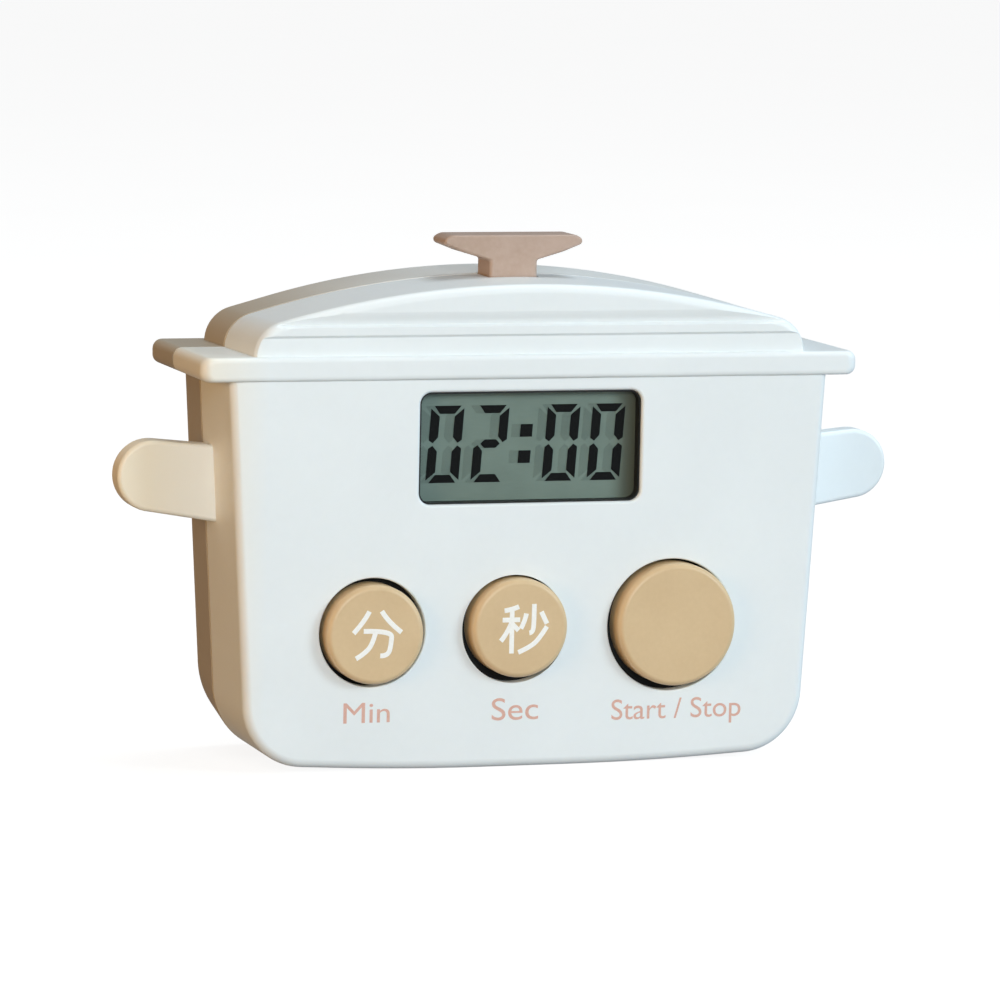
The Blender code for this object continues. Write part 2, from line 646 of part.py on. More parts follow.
def build_display():
    pane = rectangle(WINDOW_CENTRE, grown(WINDOW_SIZE, -GAP), WINDOW_CORNER - GAP)
    plate("lcd_window", pane, (FACE_Y + WINDOW_RECESS, HOLDER_Y[0] - GAP), "clear_acrylic")

    frame = rectangle(WINDOW_CENTRE, HOLDER_SIZE, 0.8 * MM, 2)
    holder = plate("lcd_holder", frame, HOLDER_Y, "black_plastic")
    opening = rectangle(WINDOW_CENTRE, grown(WINDOW_SIZE, -0.35 * MM), WINDOW_CORNER)
    cut(holder, plate("holder_opening", opening, (HOLDER_Y[0] - MM, HOLDER_Y[1] + MM)))
    pocket = rectangle(WINDOW_CENTRE, grown(GLASS_SIZE, GAP))
    cut(holder, plate("holder_pocket", pocket, (HOLDER_Y[0] + HOLDER_LIP, HOLDER_Y[1] + MM)))

    plate("lcd_glass", rectangle(WINDOW_CENTRE, GLASS_SIZE), GLASS_Y, "display_glass")
    left = WINDOW_CENTRE[0] - GLASS_SIZE[0] / 2
    right = WINDOW_CENTRE[0] + GLASS_SIZE[0] / 2
    bottom = WINDOW_CENTRE[1] - GLASS_SIZE[1] / 2
    zebra_top = bottom + ZEBRA_HEIGHT
    zebra_y = (REFLECTOR_Y[0], HOLDER_Y[1])
    block("zebra_strip", (left + MM, right - MM), zebra_y, (bottom, zebra_top), "rubber")
    film_z = (zebra_top + GAP, WINDOW_CENTRE[1] + GLASS_SIZE[1] / 2)
    block("lcd_reflector", (left, right), REFLECTOR_Y, film_z, "reflector_film")


# ---- buttons ---------------------------------------------------------------------------------

def build_button(name, x, radius):
    # Heights are measured forward from the pot's face, so the object's origin is on that face.
    back = -WALL - GAP
    flange_back = back - BUTTON_FLANGE_THICK
    plunger_tip = flange_back - PLUNGER_LENGTH
    profile = [(0.0, BUTTON_PROUD)]
    for step in range(5):
        angle = math.pi / 2 * step / 4
        profile.append((radius - BUTTON_EDGE * (1 - math.sin(angle)),
                        BUTTON_PROUD - BUTTON_EDGE * (1 - math.cos(angle))))
    profile += [
        (radius, back),
        (radius + BUTTON_FLANGE, back),
        (radius + BUTTON_FLANGE, flange_back),
        (PLUNGER_RADIUS, flange_back),
        (PLUNGER_RADIUS, plunger_tip),
        (0.0, plunger_tip),
    ]
    turned(name + "_button", profile, (x, FACE_Y, BUTTON_Z), FACING_FRONT, "camel_plastic", 40)
    disc(name + "_switch", x, BUTTON_Z, SWITCH_RADIUS, SWITCH_Y, "nickel_steel", 20)


# ---- circuit board ---------------------------------------------------------------------------

def build_board():
    centre = (0.0, (BOARD_Z[0] + BOARD_Z[1]) / 2)
    outline = rectangle(centre, (2 * BOARD_HALF, BOARD_Z[1] - BOARD_Z[0]), MM, 2)
    board = plate("circuit_board", outline, BOARD_Y, "board_laminate")
    head_y = BOARD_Y[1] + GAP
    for side, label in ((-1, "left"), (1, "right")):
        x = side * BOARD_SCREW_X
        through = (BOARD_Y[0] - MM, BOARD_Y[1] + MM)
        cut(board, disc("board_hole_" + label, x, BOARD_SCREW_Z, 0.9 * MM, through, segments=12))
        build_screw("board_screw_" + label, x, BOARD_SCREW_Z, head_y, 3.2 * MM, 0.6 * MM, 1.4 * MM, 0.8 * MM)

    x, z, radius, height = BLOB
    profile = [(radius * math.sin(math.pi / 2 * step / 5), height * math.cos(math.pi / 2 * step / 5))
               for step in range(6)]
    turned("controller_blob", profile + [(0.0, 0.0)], (x, head_y, z), FACING_BACK, "epoxy", 20)
    x, z, radius, length = CRYSTAL
    profile = [(0.0, length / 2), (radius, length / 2), (radius, -length / 2), (0.0, -length / 2)]
    turned("quartz_crystal", profile, (x, head_y + radius, z), ALONG_X, "nickel_steel", 16)
    x, z, radius, height = CAPACITOR
    disc("capacitor", x, z, radius, (head_y, head_y + height), "black_plastic", 20)


def build_screw(name, x, z, seat_y, length, radius, head_radius, head_height):
    # The head is towards the back and the shank runs forward from its seat.
    recess = 0.35 * head_height
    profile = [
        (0.0, head_height - recess),
        (0.45 * head_radius, head_height - recess),
        (0.45 * head_radius, head_height),
        (0.75 * head_radius, head_height),
        (head_radius, 0.6 * head_height),
        (head_radius, 0.0),
        (radius, 0.0),
        (radius, -length + radius),
        (0.0, -length),
    ]
    return turned(name, profile, (x, seat_y, z), FACING_BACK, "nickel_steel", 16)


def build_case_screws():
    seat_y = HEAD_SEAT_Y + GAP
    for index, (x, z) in enumerate(post_positions(), start=1):
        length = seat_y - SCREW_TIP_Y
        build_screw("case_screw_%d" % index, x, z, seat_y, length, SCREW_RADIUS, HEAD_RADIUS, HEAD_HEIGHT)


# ---- battery ---------------------------------------------------------------------------------

def build_battery():
    body_top = CELL_LENGTH - NUB_LENGTH
    chamfer = 0.4 * MM
    profile = [
        (0.0, CELL_LENGTH),
        (NUB_RADIUS, CELL_LENGTH),
        (NUB_RADIUS, body_top),
        (CELL_RADIUS - chamfer, body_top),
        (CELL_RADIUS, body_top - chamfer),
        (CELL_RADIUS, chamfer),
        (CELL_RADIUS - chamfer, 0.0),
        (0.0, 0.0),
    ]
    start_x = CELL_TIP_X - CELL_LENGTH
    turned("battery_cell", profile, (start_x, CELL_Y, CELL_Z), ALONG_X, "battery_sleeve", 32)

    outer = BAY_HALF[0] - GAP
    inner = outer - PLATE_THICK
    block("battery_plate_positive", (inner, outer), PLATE_Y, PLATE_Z, "nickel_steel")
    block("battery_plate_negative", (-outer, -inner), PLATE_Y, PLATE_Z, "nickel_steel")

    first_x = -inner + GAP + SPRING_WIRE
    last_x = start_x - GAP - SPRING_WIRE
    per_turn = 14
    count = int(SPRING_TURNS * per_turn)
    points = []
    for index in range(count + 1):
        part = index / count
        radius = SPRING_RADII[0] + (SPRING_RADII[1] - SPRING_RADII[0]) * part
        angle = 2 * math.pi * SPRING_TURNS * part
        x = first_x + (last_x - first_x) * part
        points.append((x, CELL_Y + radius * math.cos(angle), CELL_Z + radius * math.sin(angle)))
    wire("battery_spring", points, SPRING_WIRE, "nickel_steel")


def build_battery_door():
    # The object's origin is on the line about which the door swings.
    outline = rectangle((0.0, CELL_Z), (2 * DOOR_HALF[0], 2 * DOOR_HALF[1]), DOOR_CORNER)
    door_y = (BACK_Y - DOOR_THICK, BACK_Y)
    door = plate("battery_door", outline, door_y, "ivory_plastic", 0.2 * MM)
    for row, z in enumerate(TAB_ROWS):
        tab_x = (-DOOR_HALF[0] - TAB_LENGTH, -DOOR_HALF[0] + MM)
        tab_y = (door_y[0], door_y[0] + TAB_THICK)
        add(door, block("door_tab_%d" % row, tab_x, tab_y, (z - TAB_HALF, z + TAB_HALF)))
    for index in range(4):
        x = DOOR_HALF[0] - 3 * MM - index * 1.6 * MM
        groove_x = (x - 0.35 * MM, x + 0.35 * MM)
        groove_y = (BACK_Y - GRIP_DEPTH, BACK_Y + MM)
        cut(door, block("grip_%d" % index, groove_x, groove_y, (CELL_Z - GRIP_HALF, CELL_Z + GRIP_HALF)))
    move_origin(door, Vector((HINGE_X, BACK_Y - DOOR_THICK / 2, CELL_Z)))


def move_origin(obj, origin):
    for vertex in obj.data.vertices:
        vertex.co -= origin
    obj.location = origin


# ---- sounder, magnets and leads --------------------------------------------------------------

def build_buzzer():
    disc_back = BACK_Y - WALL - RING_HEIGHT - GAP
    disc_y = (disc_back - 0.4 * MM, disc_back)
    disc("buzzer_disc", 0.0, BUZZER_Z, BUZZER_RADIUS, disc_y, "brass", 32)
    ceramic_back = disc_y[0] - GAP
    disc("buzzer_ceramic", 0.0, BUZZER_Z, CERAMIC_RADIUS, (ceramic_back - GAP, ceramic_back), "ceramic", 32)


def build_magnets():
    for side, label in ((-1, "left"), (1, "right")):
        x = side * MAGNET_X
        y_range = (RIM_BACK_Y - MAGNET_THICK, RIM_BACK_Y)
        disc("magnet_" + label, x, MAGNET_Z, MAGNET_RADIUS, y_range, "magnet_steel", 28)


def build_leads():
    # A lead's middle line stays a wire's radius clear of what it is soldered to.
    board_y = BOARD_Y[1] + GAP + WIRE_RADIUS
    tab_x = BAY_HALF[0] - GAP - PLATE_THICK / 2
    tab_top = PLATE_Z[1] + GAP + WIRE_RADIUS
    for side, label, tone in ((1, "positive", "red_insulation"), (-1, "negative", "black_insulation")):
        route = [
            (side * tab_x, 2.8 * MM, tab_top),
            (side * 24.0 * MM, 0.3 * MM, 22.4 * MM),
            (side * 22.5 * MM, -2.0 * MM, 22.0 * MM),
            (side * 21.5 * MM, board_y, 21.4 * MM),
        ]
        wire("battery_lead_" + label, smooth_path(route), WIRE_RADIUS, tone)
    disc_front = BACK_Y - WALL - RING_HEIGHT - 2 * GAP - 0.4 * MM - WIRE_RADIUS
    ceramic_front = disc_front - GAP
    routes = (
        ("positive", "red_insulation", (3.0, 36.0), ceramic_front, (11.0, 37.5)),
        ("negative", "black_insulation", (-8.6, 33.0), disc_front, (-12.0, 36.5)),
    )
    for label, tone, start, start_y, end in routes:
        middle_x = (start[0] + end[0]) / 2
        route = [
            (start[0] * MM, start_y, start[1] * MM),
            (middle_x * MM, 2.6 * MM, (start[1] + 1.5) * MM),
            (end[0] * MM, -0.6 * MM, (end[1] + 1.0) * MM),
            (end[0] * MM, board_y, end[1] * MM),
        ]
        wire("buzzer_lead_" + label, smooth_path(route), WIRE_RADIUS, tone)


# ---- assembly --------------------------------------------------------------------------------

for leftover in list(bpy.data.objects):
    bpy.data.objects.remove(leftover)
PIECES = new_collection("pot_timer")
TOOLS = new_collection("cutters")

build_front_shell()
build_rear_shell()
build_knob()
build_display()
for button_name, (button_x, button_radius) in BUTTONS.items():
    build_button(button_name, button_x, button_radius)
build_board()
build_case_screws()
build_battery()
build_battery_door()
build_buzzer()
build_magnets()
build_leads()
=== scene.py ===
import bmesh
import bpy
import math
from mathutils import Matrix, Vector


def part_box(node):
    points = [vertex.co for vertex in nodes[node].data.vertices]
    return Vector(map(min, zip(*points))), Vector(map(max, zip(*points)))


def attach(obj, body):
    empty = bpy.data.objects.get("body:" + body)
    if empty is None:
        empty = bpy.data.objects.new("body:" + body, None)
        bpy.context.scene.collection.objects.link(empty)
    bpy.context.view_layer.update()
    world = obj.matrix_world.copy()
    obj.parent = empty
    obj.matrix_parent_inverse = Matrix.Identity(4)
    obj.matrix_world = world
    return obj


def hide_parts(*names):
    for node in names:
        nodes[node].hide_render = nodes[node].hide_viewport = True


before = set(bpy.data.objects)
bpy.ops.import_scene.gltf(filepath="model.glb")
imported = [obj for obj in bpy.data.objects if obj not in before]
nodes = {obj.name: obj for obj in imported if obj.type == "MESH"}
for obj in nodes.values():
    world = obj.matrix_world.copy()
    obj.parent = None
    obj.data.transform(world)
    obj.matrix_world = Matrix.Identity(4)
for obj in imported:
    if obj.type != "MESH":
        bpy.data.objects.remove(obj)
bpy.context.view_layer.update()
mm = 0.001
print("frame loaded:", len(nodes), "nodes")


frontLow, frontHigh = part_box("front_shell")
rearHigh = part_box("rear_shell")[1]
knobLow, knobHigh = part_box("knob")
paneLow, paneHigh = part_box("lcd_window")
glassLow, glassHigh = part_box("lcd_glass")
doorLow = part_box("battery_door")[0]

pot = {
    "faceY": frontLow.y + 0.5 * mm,      # the rim stands half a millimetre proud of the face
    "seamY": frontLow.y + 12.2 * mm,
    "backY": rearHigh.y - 1.6 * mm,
    "seamGap": 0.3 * mm,
    "wall": 1.5 * mm,
    "halfWidth": 33.5 * mm,
    "sideTaper": math.radians(3.2),
    "bowX": 13.0 * mm,
    "bowRadius": 300.0 * mm,
    "bowSlope": math.radians(3.06),
    "lidHalf": 30.9 * mm,
    "lidCorner": 3.8 * mm,
    "archSlope": math.radians(15.5),
    "frontFillet": 1.0 * mm,
    "backFillet": 0.9 * mm,
    "front": {"pot": 0.3 * mm, "lid": 0.3 * mm, "heel": 6.8 * mm, "arch": 103.3 * mm, "top": 51.6 * mm},
    "seam": {"pot": 0.0, "lid": 0.0, "heel": 7.4 * mm, "arch": 98.0 * mm, "top": 51.8 * mm},
    "back": {"pot": 0.35 * mm, "lid": -0.2 * mm, "heel": 9.3 * mm, "arch": 90.0 * mm, "top": 52.2 * mm},
}

rim = {
    "half": rearHigh.x,
    "low": 41.6 * mm,
    "high": 44.2 * mm,
    "corner": 1.0 * mm,
    "planCorner": 1.2 * mm,
    "edge": 0.6 * mm,
    "stepZ": 44.0 * mm,
    "frontY": frontLow.y,
    "backY": rearHigh.y,
}


def deselectAll():
    if bpy.context.object and bpy.context.object.mode != "OBJECT":
        bpy.ops.object.mode_set(mode="OBJECT")
    bpy.ops.object.select_all(action="DESELECT")


def activate(piece):
    deselectAll()
    piece.select_set(True)
    bpy.context.view_layer.objects.active = piece


def editPick(piece, mode, test):
    # Opens edit mode with only the vertices, edges or faces that pass the test selected.
    activate(piece)
    bpy.ops.object.mode_set(mode="EDIT")
    bpy.ops.mesh.select_mode(type=mode)
    bpy.ops.mesh.select_all(action="DESELECT")
    cage = bmesh.from_edit_mesh(piece.data)
    group = {"VERT": cage.verts, "EDGE": cage.edges, "FACE": cage.faces}[mode]
    picked = 0
    for element in group:
        if test(element):
            element.select_set(True)
            picked += 1
    cage.select_flush_mode()
    bmesh.update_edit_mesh(piece.data)
    return picked


def leaveEdit():
    bpy.ops.object.mode_set(mode="OBJECT")


def bevelEdges(piece, test, width, segments):
    picked = editPick(piece, "EDGE", test)
    if picked:
        bpy.ops.mesh.bevel(offset=width, segments=segments, profile=0.5, affect="EDGES", clamp_overlap=True)
    leaveEdit()
    return picked


def applyPlace(piece):
    activate(piece)
    bpy.ops.object.transform_apply(location=True, rotation=True, scale=True)


def useModifier(piece, kind, **settings):
    activate(piece)
    modifier = piece.modifiers.new(kind.lower(), kind)
    for key, value in settings.items():
        setattr(modifier, key, value)
    bpy.ops.object.modifier_apply(modifier=modifier.name)


def combine(piece, other, operation):
    useModifier(piece, "BOOLEAN", object=other, operation=operation, solver="EXACT")
    bpy.data.objects.remove(other)


def smooth(piece, angle=32.0):
    activate(piece)
    bpy.ops.object.shade_smooth_by_angle(angle=math.radians(angle), keep_sharp_edges=False)
    useModifier(piece, "WEIGHTED_NORMAL", mode="FACE_AREA", keep_sharp=True)


def roundCorners(corners):
    # Corners are (x, z, radius, steps); radius 0 stays sharp.
    points = []
    for index, (x, z, radius, steps) in enumerate(corners):
        here = Vector((x, z))
        back = (Vector(corners[index - 1][:2]) - here).normalized()
        ahead = (Vector(corners[(index + 1) % len(corners)][:2]) - here).normalized()
        if radius <= 0:
            points.append(here)
            continue
        turn = math.pi - back.angle(ahead)
        centre = here + (back + ahead).normalized() * radius / math.cos(turn / 2)
        start = here + back * radius * math.tan(turn / 2) - centre
        sweep = math.copysign(turn, back.x * ahead.y - back.y * ahead.x)
        for step in range(steps + 1):
            points.append(centre + Matrix.Rotation(-sweep * step / steps, 2) @ start)
    return points


def roundRectangle(centre, size, radius, steps=8):
    signs = ((1, -1), (1, 1), (-1, 1), (-1, -1))
    return roundCorners([(centre[0] + size[0] / 2 * sx, centre[1] + size[1] / 2 * sz, radius, steps)
                         for sx, sz in signs])


def skin(name, sections):
    # Closed skin over outlines of equal point count, each at its own depth; no primitive has this form.
    bm = bmesh.new()
    rings = [[bm.verts.new((x, y, z)) for x, z in outline] for y, outline in sections]
    for near, far in zip(rings, rings[1:]):
        for index in range(len(near)):
            bm.faces.new((near[index - 1], near[index], far[index], far[index - 1]))
    bm.faces.new(rings[0])
    bm.faces.new(rings[-1])
    bmesh.ops.recalc_face_normals(bm, faces=bm.faces)
    mesh = bpy.data.meshes.new(name)
    bm.to_mesh(mesh)
    bm.free()
    piece = bpy.data.objects.new(name, mesh)
    bpy.context.scene.collection.objects.link(piece)
    return piece


def filletSections(endY, inward, radius, outlineAt, steps=6):
    sections = []
    for step in range(steps + 1):
        angle = math.pi / 2 * step / steps
        y = endY + inward * radius * (1 - math.cos(angle))
        sections.append((y, outlineAt(radius * (1 - math.sin(angle)))))
    return sections


def cylinderPiece(name, x, z, radius, lowY, highY, vertices=64):
    deselectAll()
    bpy.ops.mesh.primitive_cylinder_add(
        vertices=vertices, radius=radius, depth=highY - lowY,
        location=(x, (lowY + highY) / 2, z), rotation=(math.pi / 2, 0, 0))
    piece = bpy.context.object
    piece.name = name
    applyPlace(piece)
    return piece


def boxPiece(name, low, high):
    deselectAll()
    centre = [(a + b) / 2 for a, b in zip(low, high)]
    bpy.ops.mesh.primitive_cube_add(size=1, location=centre, scale=[b - a for a, b in zip(low, high)])
    piece = bpy.context.object
    piece.name = name
    applyPlace(piece)
    return piece


def flatPiece(name, outlines, frontY, thickness):
    # Flat filled shapes facing front, drawn as a curve and made a mesh.
    curve = bpy.data.curves.new(name, "CURVE")
    curve.dimensions = "2D"
    curve.fill_mode = "BOTH"
    curve.extrude = thickness / 2
    for outline in outlines:
        spline = curve.splines.new("POLY")
        spline.points.add(len(outline) - 1)
        for point, (x, z) in zip(spline.points, outline):
            point.co = (x, z, 0, 1)
        spline.use_cyclic_u = True
    piece = bpy.data.objects.new(name, curve)
    bpy.context.scene.collection.objects.link(piece)
    activate(piece)
    bpy.ops.object.convert(target="MESH")
    piece = bpy.context.object
    weld(piece)
    piece.rotation_euler = (math.pi / 2, 0, 0)
    piece.location = (0, frontY + thickness / 2, 0)
    applyPlace(piece)
    return piece


def weld(piece, distance=0.002 * mm):
    editPick(piece, "VERT", lambda vert: True)
    bpy.ops.mesh.remove_doubles(threshold=distance)
    leaveEdit()


def copyPiece(piece, name, shift):
    copy = piece.copy()
    copy.data = piece.data.copy()
    copy.name = name
    bpy.context.scene.collection.objects.link(copy)
    copy.data.transform(Matrix.Translation(shift))
    return copy


def linear(hexText, alpha=1.0):
    channels = [int(hexText[i:i + 2], 16) / 255 for i in (1, 3, 5)]
    return [c / 12.92 if c <= 0.04045 else ((c + 0.055) / 1.055) ** 2.4 for c in channels] + [alpha]


def addNode(tree, kind, settings=None, links=None):
    # One node with its settings, and what feeds its inputs.
    node = tree.nodes.new(kind)
    for key, value in (settings or {}).items():
        if key == "stops":
            for element, (position, color) in zip(node.color_ramp.elements, value):
                element.position = position
                element.color = color
        elif hasattr(node, key):
            setattr(node, key, value)
        else:
            node.inputs[key].default_value = value
    for key, source in (links or {}).items():
        tree.links.new(source, node.inputs[key])
    return node


def newMaterial(name, constants):
    made = bpy.data.materials.new(name)
    made.use_nodes = True
    tree = made.node_tree
    shader = tree.nodes["Principled BSDF"]
    for key, value in constants.items():
        shader.inputs[key].default_value = value
    return made, tree, shader, addNode(tree, "ShaderNodeTexCoord").outputs["Object"]


def feed(tree, shader, sources):
    for key, source in sources.items():
        tree.links.new(source, shader.inputs[key])


def mouldedAbs(name, light, dark, rough, look, paintedSide=None):
    # Injection-moulded ABS: an even opaque colour, a soft satin sheen from the spark-eroded mould,
    # and slow changes of tone where the wall cooled at different speeds.
    made, tree, shader, coords = newMaterial(name, {
        "IOR": 1.53, "Subsurface Weight": 0.05,
        "Subsurface Radius": (1.2, 1.0, 0.8), "Subsurface Scale": 0.6 * mm})
    tone = addNode(tree, "ShaderNodeTexNoise", {"Scale": 1 / (look["toneMm"] * mm), "Detail": 3.0},
                   {"Vector": coords}).outputs["Fac"]
    fleck = addNode(tree, "ShaderNodeTexNoise", {"Scale": 1 / (look["fleckMm"] * mm)},
                    {"Vector": coords}).outputs["Fac"]
    mixed = addNode(tree, "ShaderNodeMix", {"Factor": look["fleck"]}, {2: tone, 3: fleck}).outputs[0]
    color = addNode(tree, "ShaderNodeValToRGB", {"stops": [(0.3, linear(dark)), (0.7, linear(light))]},
                    {"Fac": mixed}).outputs["Color"]
    if paintedSide:      # painted light and shade: the same plastic, tinted towards another colour at its left end, where the warm side light and the shade fall
        across = addNode(tree, "ShaderNodeSeparateXYZ", {}, {"Vector": coords}).outputs["X"]
        paintedSideMask = addNode(tree, "ShaderNodeMapRange", {
            "From Min": paintedSide["full"], "From Max": paintedSide["none"], "To Min": 1.0, "To Max": 0.0},
            {"Value": across}).outputs["Result"]
        color = addNode(tree, "ShaderNodeMix", {"data_type": "RGBA"}, {0: paintedSideMask, 6: color}).outputs[2]
        color.node.inputs[7].default_value = linear(paintedSide["color"])
    gloss = addNode(tree, "ShaderNodeMapRange", {"To Min": rough - 0.04, "To Max": rough + 0.06},
                    {"Value": fleck})
    # The mould's texture is about 0.05 mm on the real plastic, and drawn coarser here.
    grain = addNode(tree, "ShaderNodeTexNoise", {"Scale": 1 / (0.16 * mm), "Roughness": 0.6},
                    {"Vector": coords})
    bump = addNode(tree, "ShaderNodeBump", {"Strength": 0.2, "Distance": 0.008 * mm},
                   {"Height": grain.outputs["Fac"]})
    feed(tree, shader, {
        "Base Color": color, "Roughness": gloss.outputs["Result"], "Normal": bump.outputs["Normal"]})
    return made


def surface(name, look):
    # Two tones, a gloss and a fine relief that all follow one noise of the material's own scale.
    made, tree, shader, coords = newMaterial(name, look.get("constants", {}))
    if "stretch" in look:
        coords = addNode(tree, "ShaderNodeMapping", {"Scale": look["stretch"]},
                         {"Vector": coords}).outputs["Vector"]
    tone = addNode(tree, "ShaderNodeTexNoise", {
        "Scale": 1 / (look["mm"] * mm), "Detail": 3.0, "Roughness": 0.6}, {"Vector": coords}).outputs["Fac"]
    color = addNode(tree, "ShaderNodeValToRGB", {
        "stops": [(0.3, linear(look["dark"])), (0.7, linear(look["light"]))]}, {"Fac": tone})
    gloss = addNode(tree, "ShaderNodeMapRange", {
        "To Min": max(look["rough"] - 0.06, 0.03), "To Max": look["rough"] + 0.06}, {"Value": tone})
    bump = addNode(tree, "ShaderNodeBump", {"Strength": 0.25, "Distance": look.get("reliefMm", 0.01) * mm},
                   {"Height": tone})
    feed(tree, shader, {"Base Color": color.outputs["Color"], "Roughness": gloss.outputs["Result"],
                        "Normal": bump.outputs["Normal"]})
    return made


def displayGlass(name, look):
    # Reflective liquid crystal cell under a polariser: dull grey-green, brushed film behind it,
    # and falling to brown at the right where the window's side shades it.
    made, tree, shader, coords = newMaterial(name, {"IOR": 1.5, "Coat Weight": 0.1, "Coat Roughness": 0.12})
    tone = addNode(tree, "ShaderNodeTexNoise", {"Scale": 1 / (6.0 * mm)}, {"Vector": coords}).outputs["Fac"]
    brushed = addNode(tree, "ShaderNodeMapping", {"Scale": (0.3, 1.0, 6.0)},
                      {"Vector": coords}).outputs["Vector"]
    grain = addNode(tree, "ShaderNodeTexNoise", {"Scale": 1 / (0.5 * mm)},
                    {"Vector": brushed}).outputs["Fac"]
    mixed = addNode(tree, "ShaderNodeMix", {"Factor": 0.35}, {2: tone, 3: grain}).outputs[0]
    color = addNode(tree, "ShaderNodeValToRGB", {
        "stops": [(0.3, linear(look["dark"])), (0.65, linear(look["light"]))]},
        {"Fac": mixed}).outputs["Color"]
    across = addNode(tree, "ShaderNodeSeparateXYZ", {}, {"Vector": coords}).outputs["X"]
    edge = addNode(tree, "ShaderNodeMapRange", {
        "From Min": look["edgeFrom"], "From Max": look["edgeTo"], "interpolation_type": "SMOOTHSTEP"},
        {"Value": across}).outputs["Result"]
    color = addNode(tree, "ShaderNodeMix", {"data_type": "RGBA"}, {0: edge, 6: color}).outputs[2]
    color.node.inputs[7].default_value = linear(look["edge"])
    gloss = addNode(tree, "ShaderNodeMapRange", {"To Min": 0.35, "To Max": 0.5}, {"Value": grain})
    bump = addNode(tree, "ShaderNodeBump", {"Strength": 0.15, "Distance": 0.01 * mm}, {"Height": grain})
    feed(tree, shader, {
        "Base Color": color, "Roughness": gloss.outputs["Result"], "Normal": bump.outputs["Normal"]})
    return made


housingGrain = {"toneMm": 14.0, "fleckMm": 0.9, "fleck": 0.2}
# Its left end is painted cream: painted warm light from the left on the lug and side strip.
whiteAbs = mouldedAbs("white_abs_moulded", "#EFF5F7", "#EAF0F2", 0.42, housingGrain,
                      {"full": -40.0 * mm, "none": -29.0 * mm, "color": "#FAEED6"})
# Its left part is painted brown: painted shade on the left side of the rear shell.
rearAbs = mouldedAbs("rear_white_abs_moulded", "#E9ECEB", "#E4E6E4", 0.45, housingGrain,
                     {"full": -29.0 * mm, "none": -6.0 * mm, "color": "#B7A994"})
camelAbs = mouldedAbs("camel_abs_satin", "#DEC39A", "#D6BA91", 0.4,
                      {"toneMm": 5.0, "fleckMm": 0.5, "fleck": 0.3})
tanAbs = mouldedAbs("dusty_tan_abs_moulded", "#BBA395", "#AE9583", 0.45,
                    {"toneMm": 3.0, "fleckMm": 0.6, "fleck": 0.4})
blackAbs = mouldedAbs("black_abs_satin", "#0D0E0D", "#090A09", 0.5,
                      {"toneMm": 9.0, "fleckMm": 0.9, "fleck": 0.25})
# Pad-printed ink: thin, matt, a little uneven where the pad let go.
whiteInk = surface("white_pad_print_ink", {"light": "#FFFFFC", "dark": "#F6F5F0", "rough": 0.5, "mm": 0.35})
salmonInk = surface("salmon_pad_print_ink", {
    "light": "#E0B5A6", "dark": "#D9A999", "rough": 0.55, "mm": 0.35})
# Cast acrylic window: almost nothing but a faint reflection of the room.
paneAcrylic = surface("clear_cast_acrylic", {
    "light": "#2C302E", "dark": "#282B2A", "rough": 0.08, "mm": 1.5, "reliefMm": 0.001,
    "constants": {"IOR": 1.49, "Alpha": 0.04}})
lcdCell = displayGlass("grey_green_lcd_glass", {
    "light": "#7D9187", "dark": "#6E8178", "edge": "#4E4F3B", "edgeFrom": 8.5 * mm, "edgeTo": 12.2 * mm})
# A driven liquid crystal segment blocks the light, so it is near black.
segmentInk = surface("driven_lcd_segment", {
    "light": "#060707", "dark": "#030404", "rough": 0.6, "mm": 0.8,
    "constants": {"Specular IOR Level": 0.15}})
# Soft shadow that a driven segment throws on the reflector behind it.
segmentShade = surface("segment_shadow_on_reflector", {
    "light": "#26302B", "dark": "#202A25", "rough": 0.6, "mm": 0.6, "constants": {"Alpha": 0.05}})
# Black flange behind the keys, drawn as a silicone key mat: painted shade, a dark sheet that darkens the
# gaps round the keys.
keyGapShade = surface("black_key_flange_gap_shade", {
    "light": "#0E0E0E", "dark": "#090909", "rough": 0.8, "mm": 0.5})
print("materials made")


def sideX(z):
    return pot["halfWidth"] - (rim["low"] - z) * math.tan(pot["sideTaper"])


def potOutline(inset, shape):
    potInset = inset + shape["pot"]
    lidHalf = pot["lidHalf"] - inset - shape["lid"]
    heelZ = inset + (sideX(0.0) - pot["bowX"]) * math.tan(pot["bowSlope"])
    arch = shape["arch"] - inset
    peak = shape["top"] - inset + arch * (1 / math.cos(pot["archSlope"]) - 1)
    half = [
        (pot["bowX"], inset, pot["bowRadius"], 6),
        (sideX(heelZ) - potInset, heelZ, shape["heel"] - inset, 20),
        (sideX(rim["stepZ"]) - potInset, rim["stepZ"] - inset, 0, 0),
        (lidHalf, rim["stepZ"] - inset, 0, 0),
        (lidHalf, peak - lidHalf * math.tan(pot["archSlope"]), pot["lidCorner"] - inset, 12),
    ]
    otherHalf = [(-x, z, radius, steps) for x, z, radius, steps in reversed(half)]
    return roundCorners(half + [(0, peak, arch, 40)] + otherHalf)


def rimOutline(insetX, insetZ):
    size = (2 * (rim["half"] - insetX), rim["high"] - rim["low"] - 2 * insetZ)
    return roundRectangle((0, (rim["low"] + rim["high"]) / 2), size, rim["corner"] - insetZ, 8)


def rimSections(endY, inward):
    sections = []
    for step in range(9):
        angle = math.pi / 2 * step / 8
        short = 1 - math.sin(angle)
        y = endY + inward * rim["planCorner"] * (1 - math.cos(angle))
        sections.append((y, rimOutline(rim["planCorner"] * short, rim["edge"] * short ** 2)))
    return sections


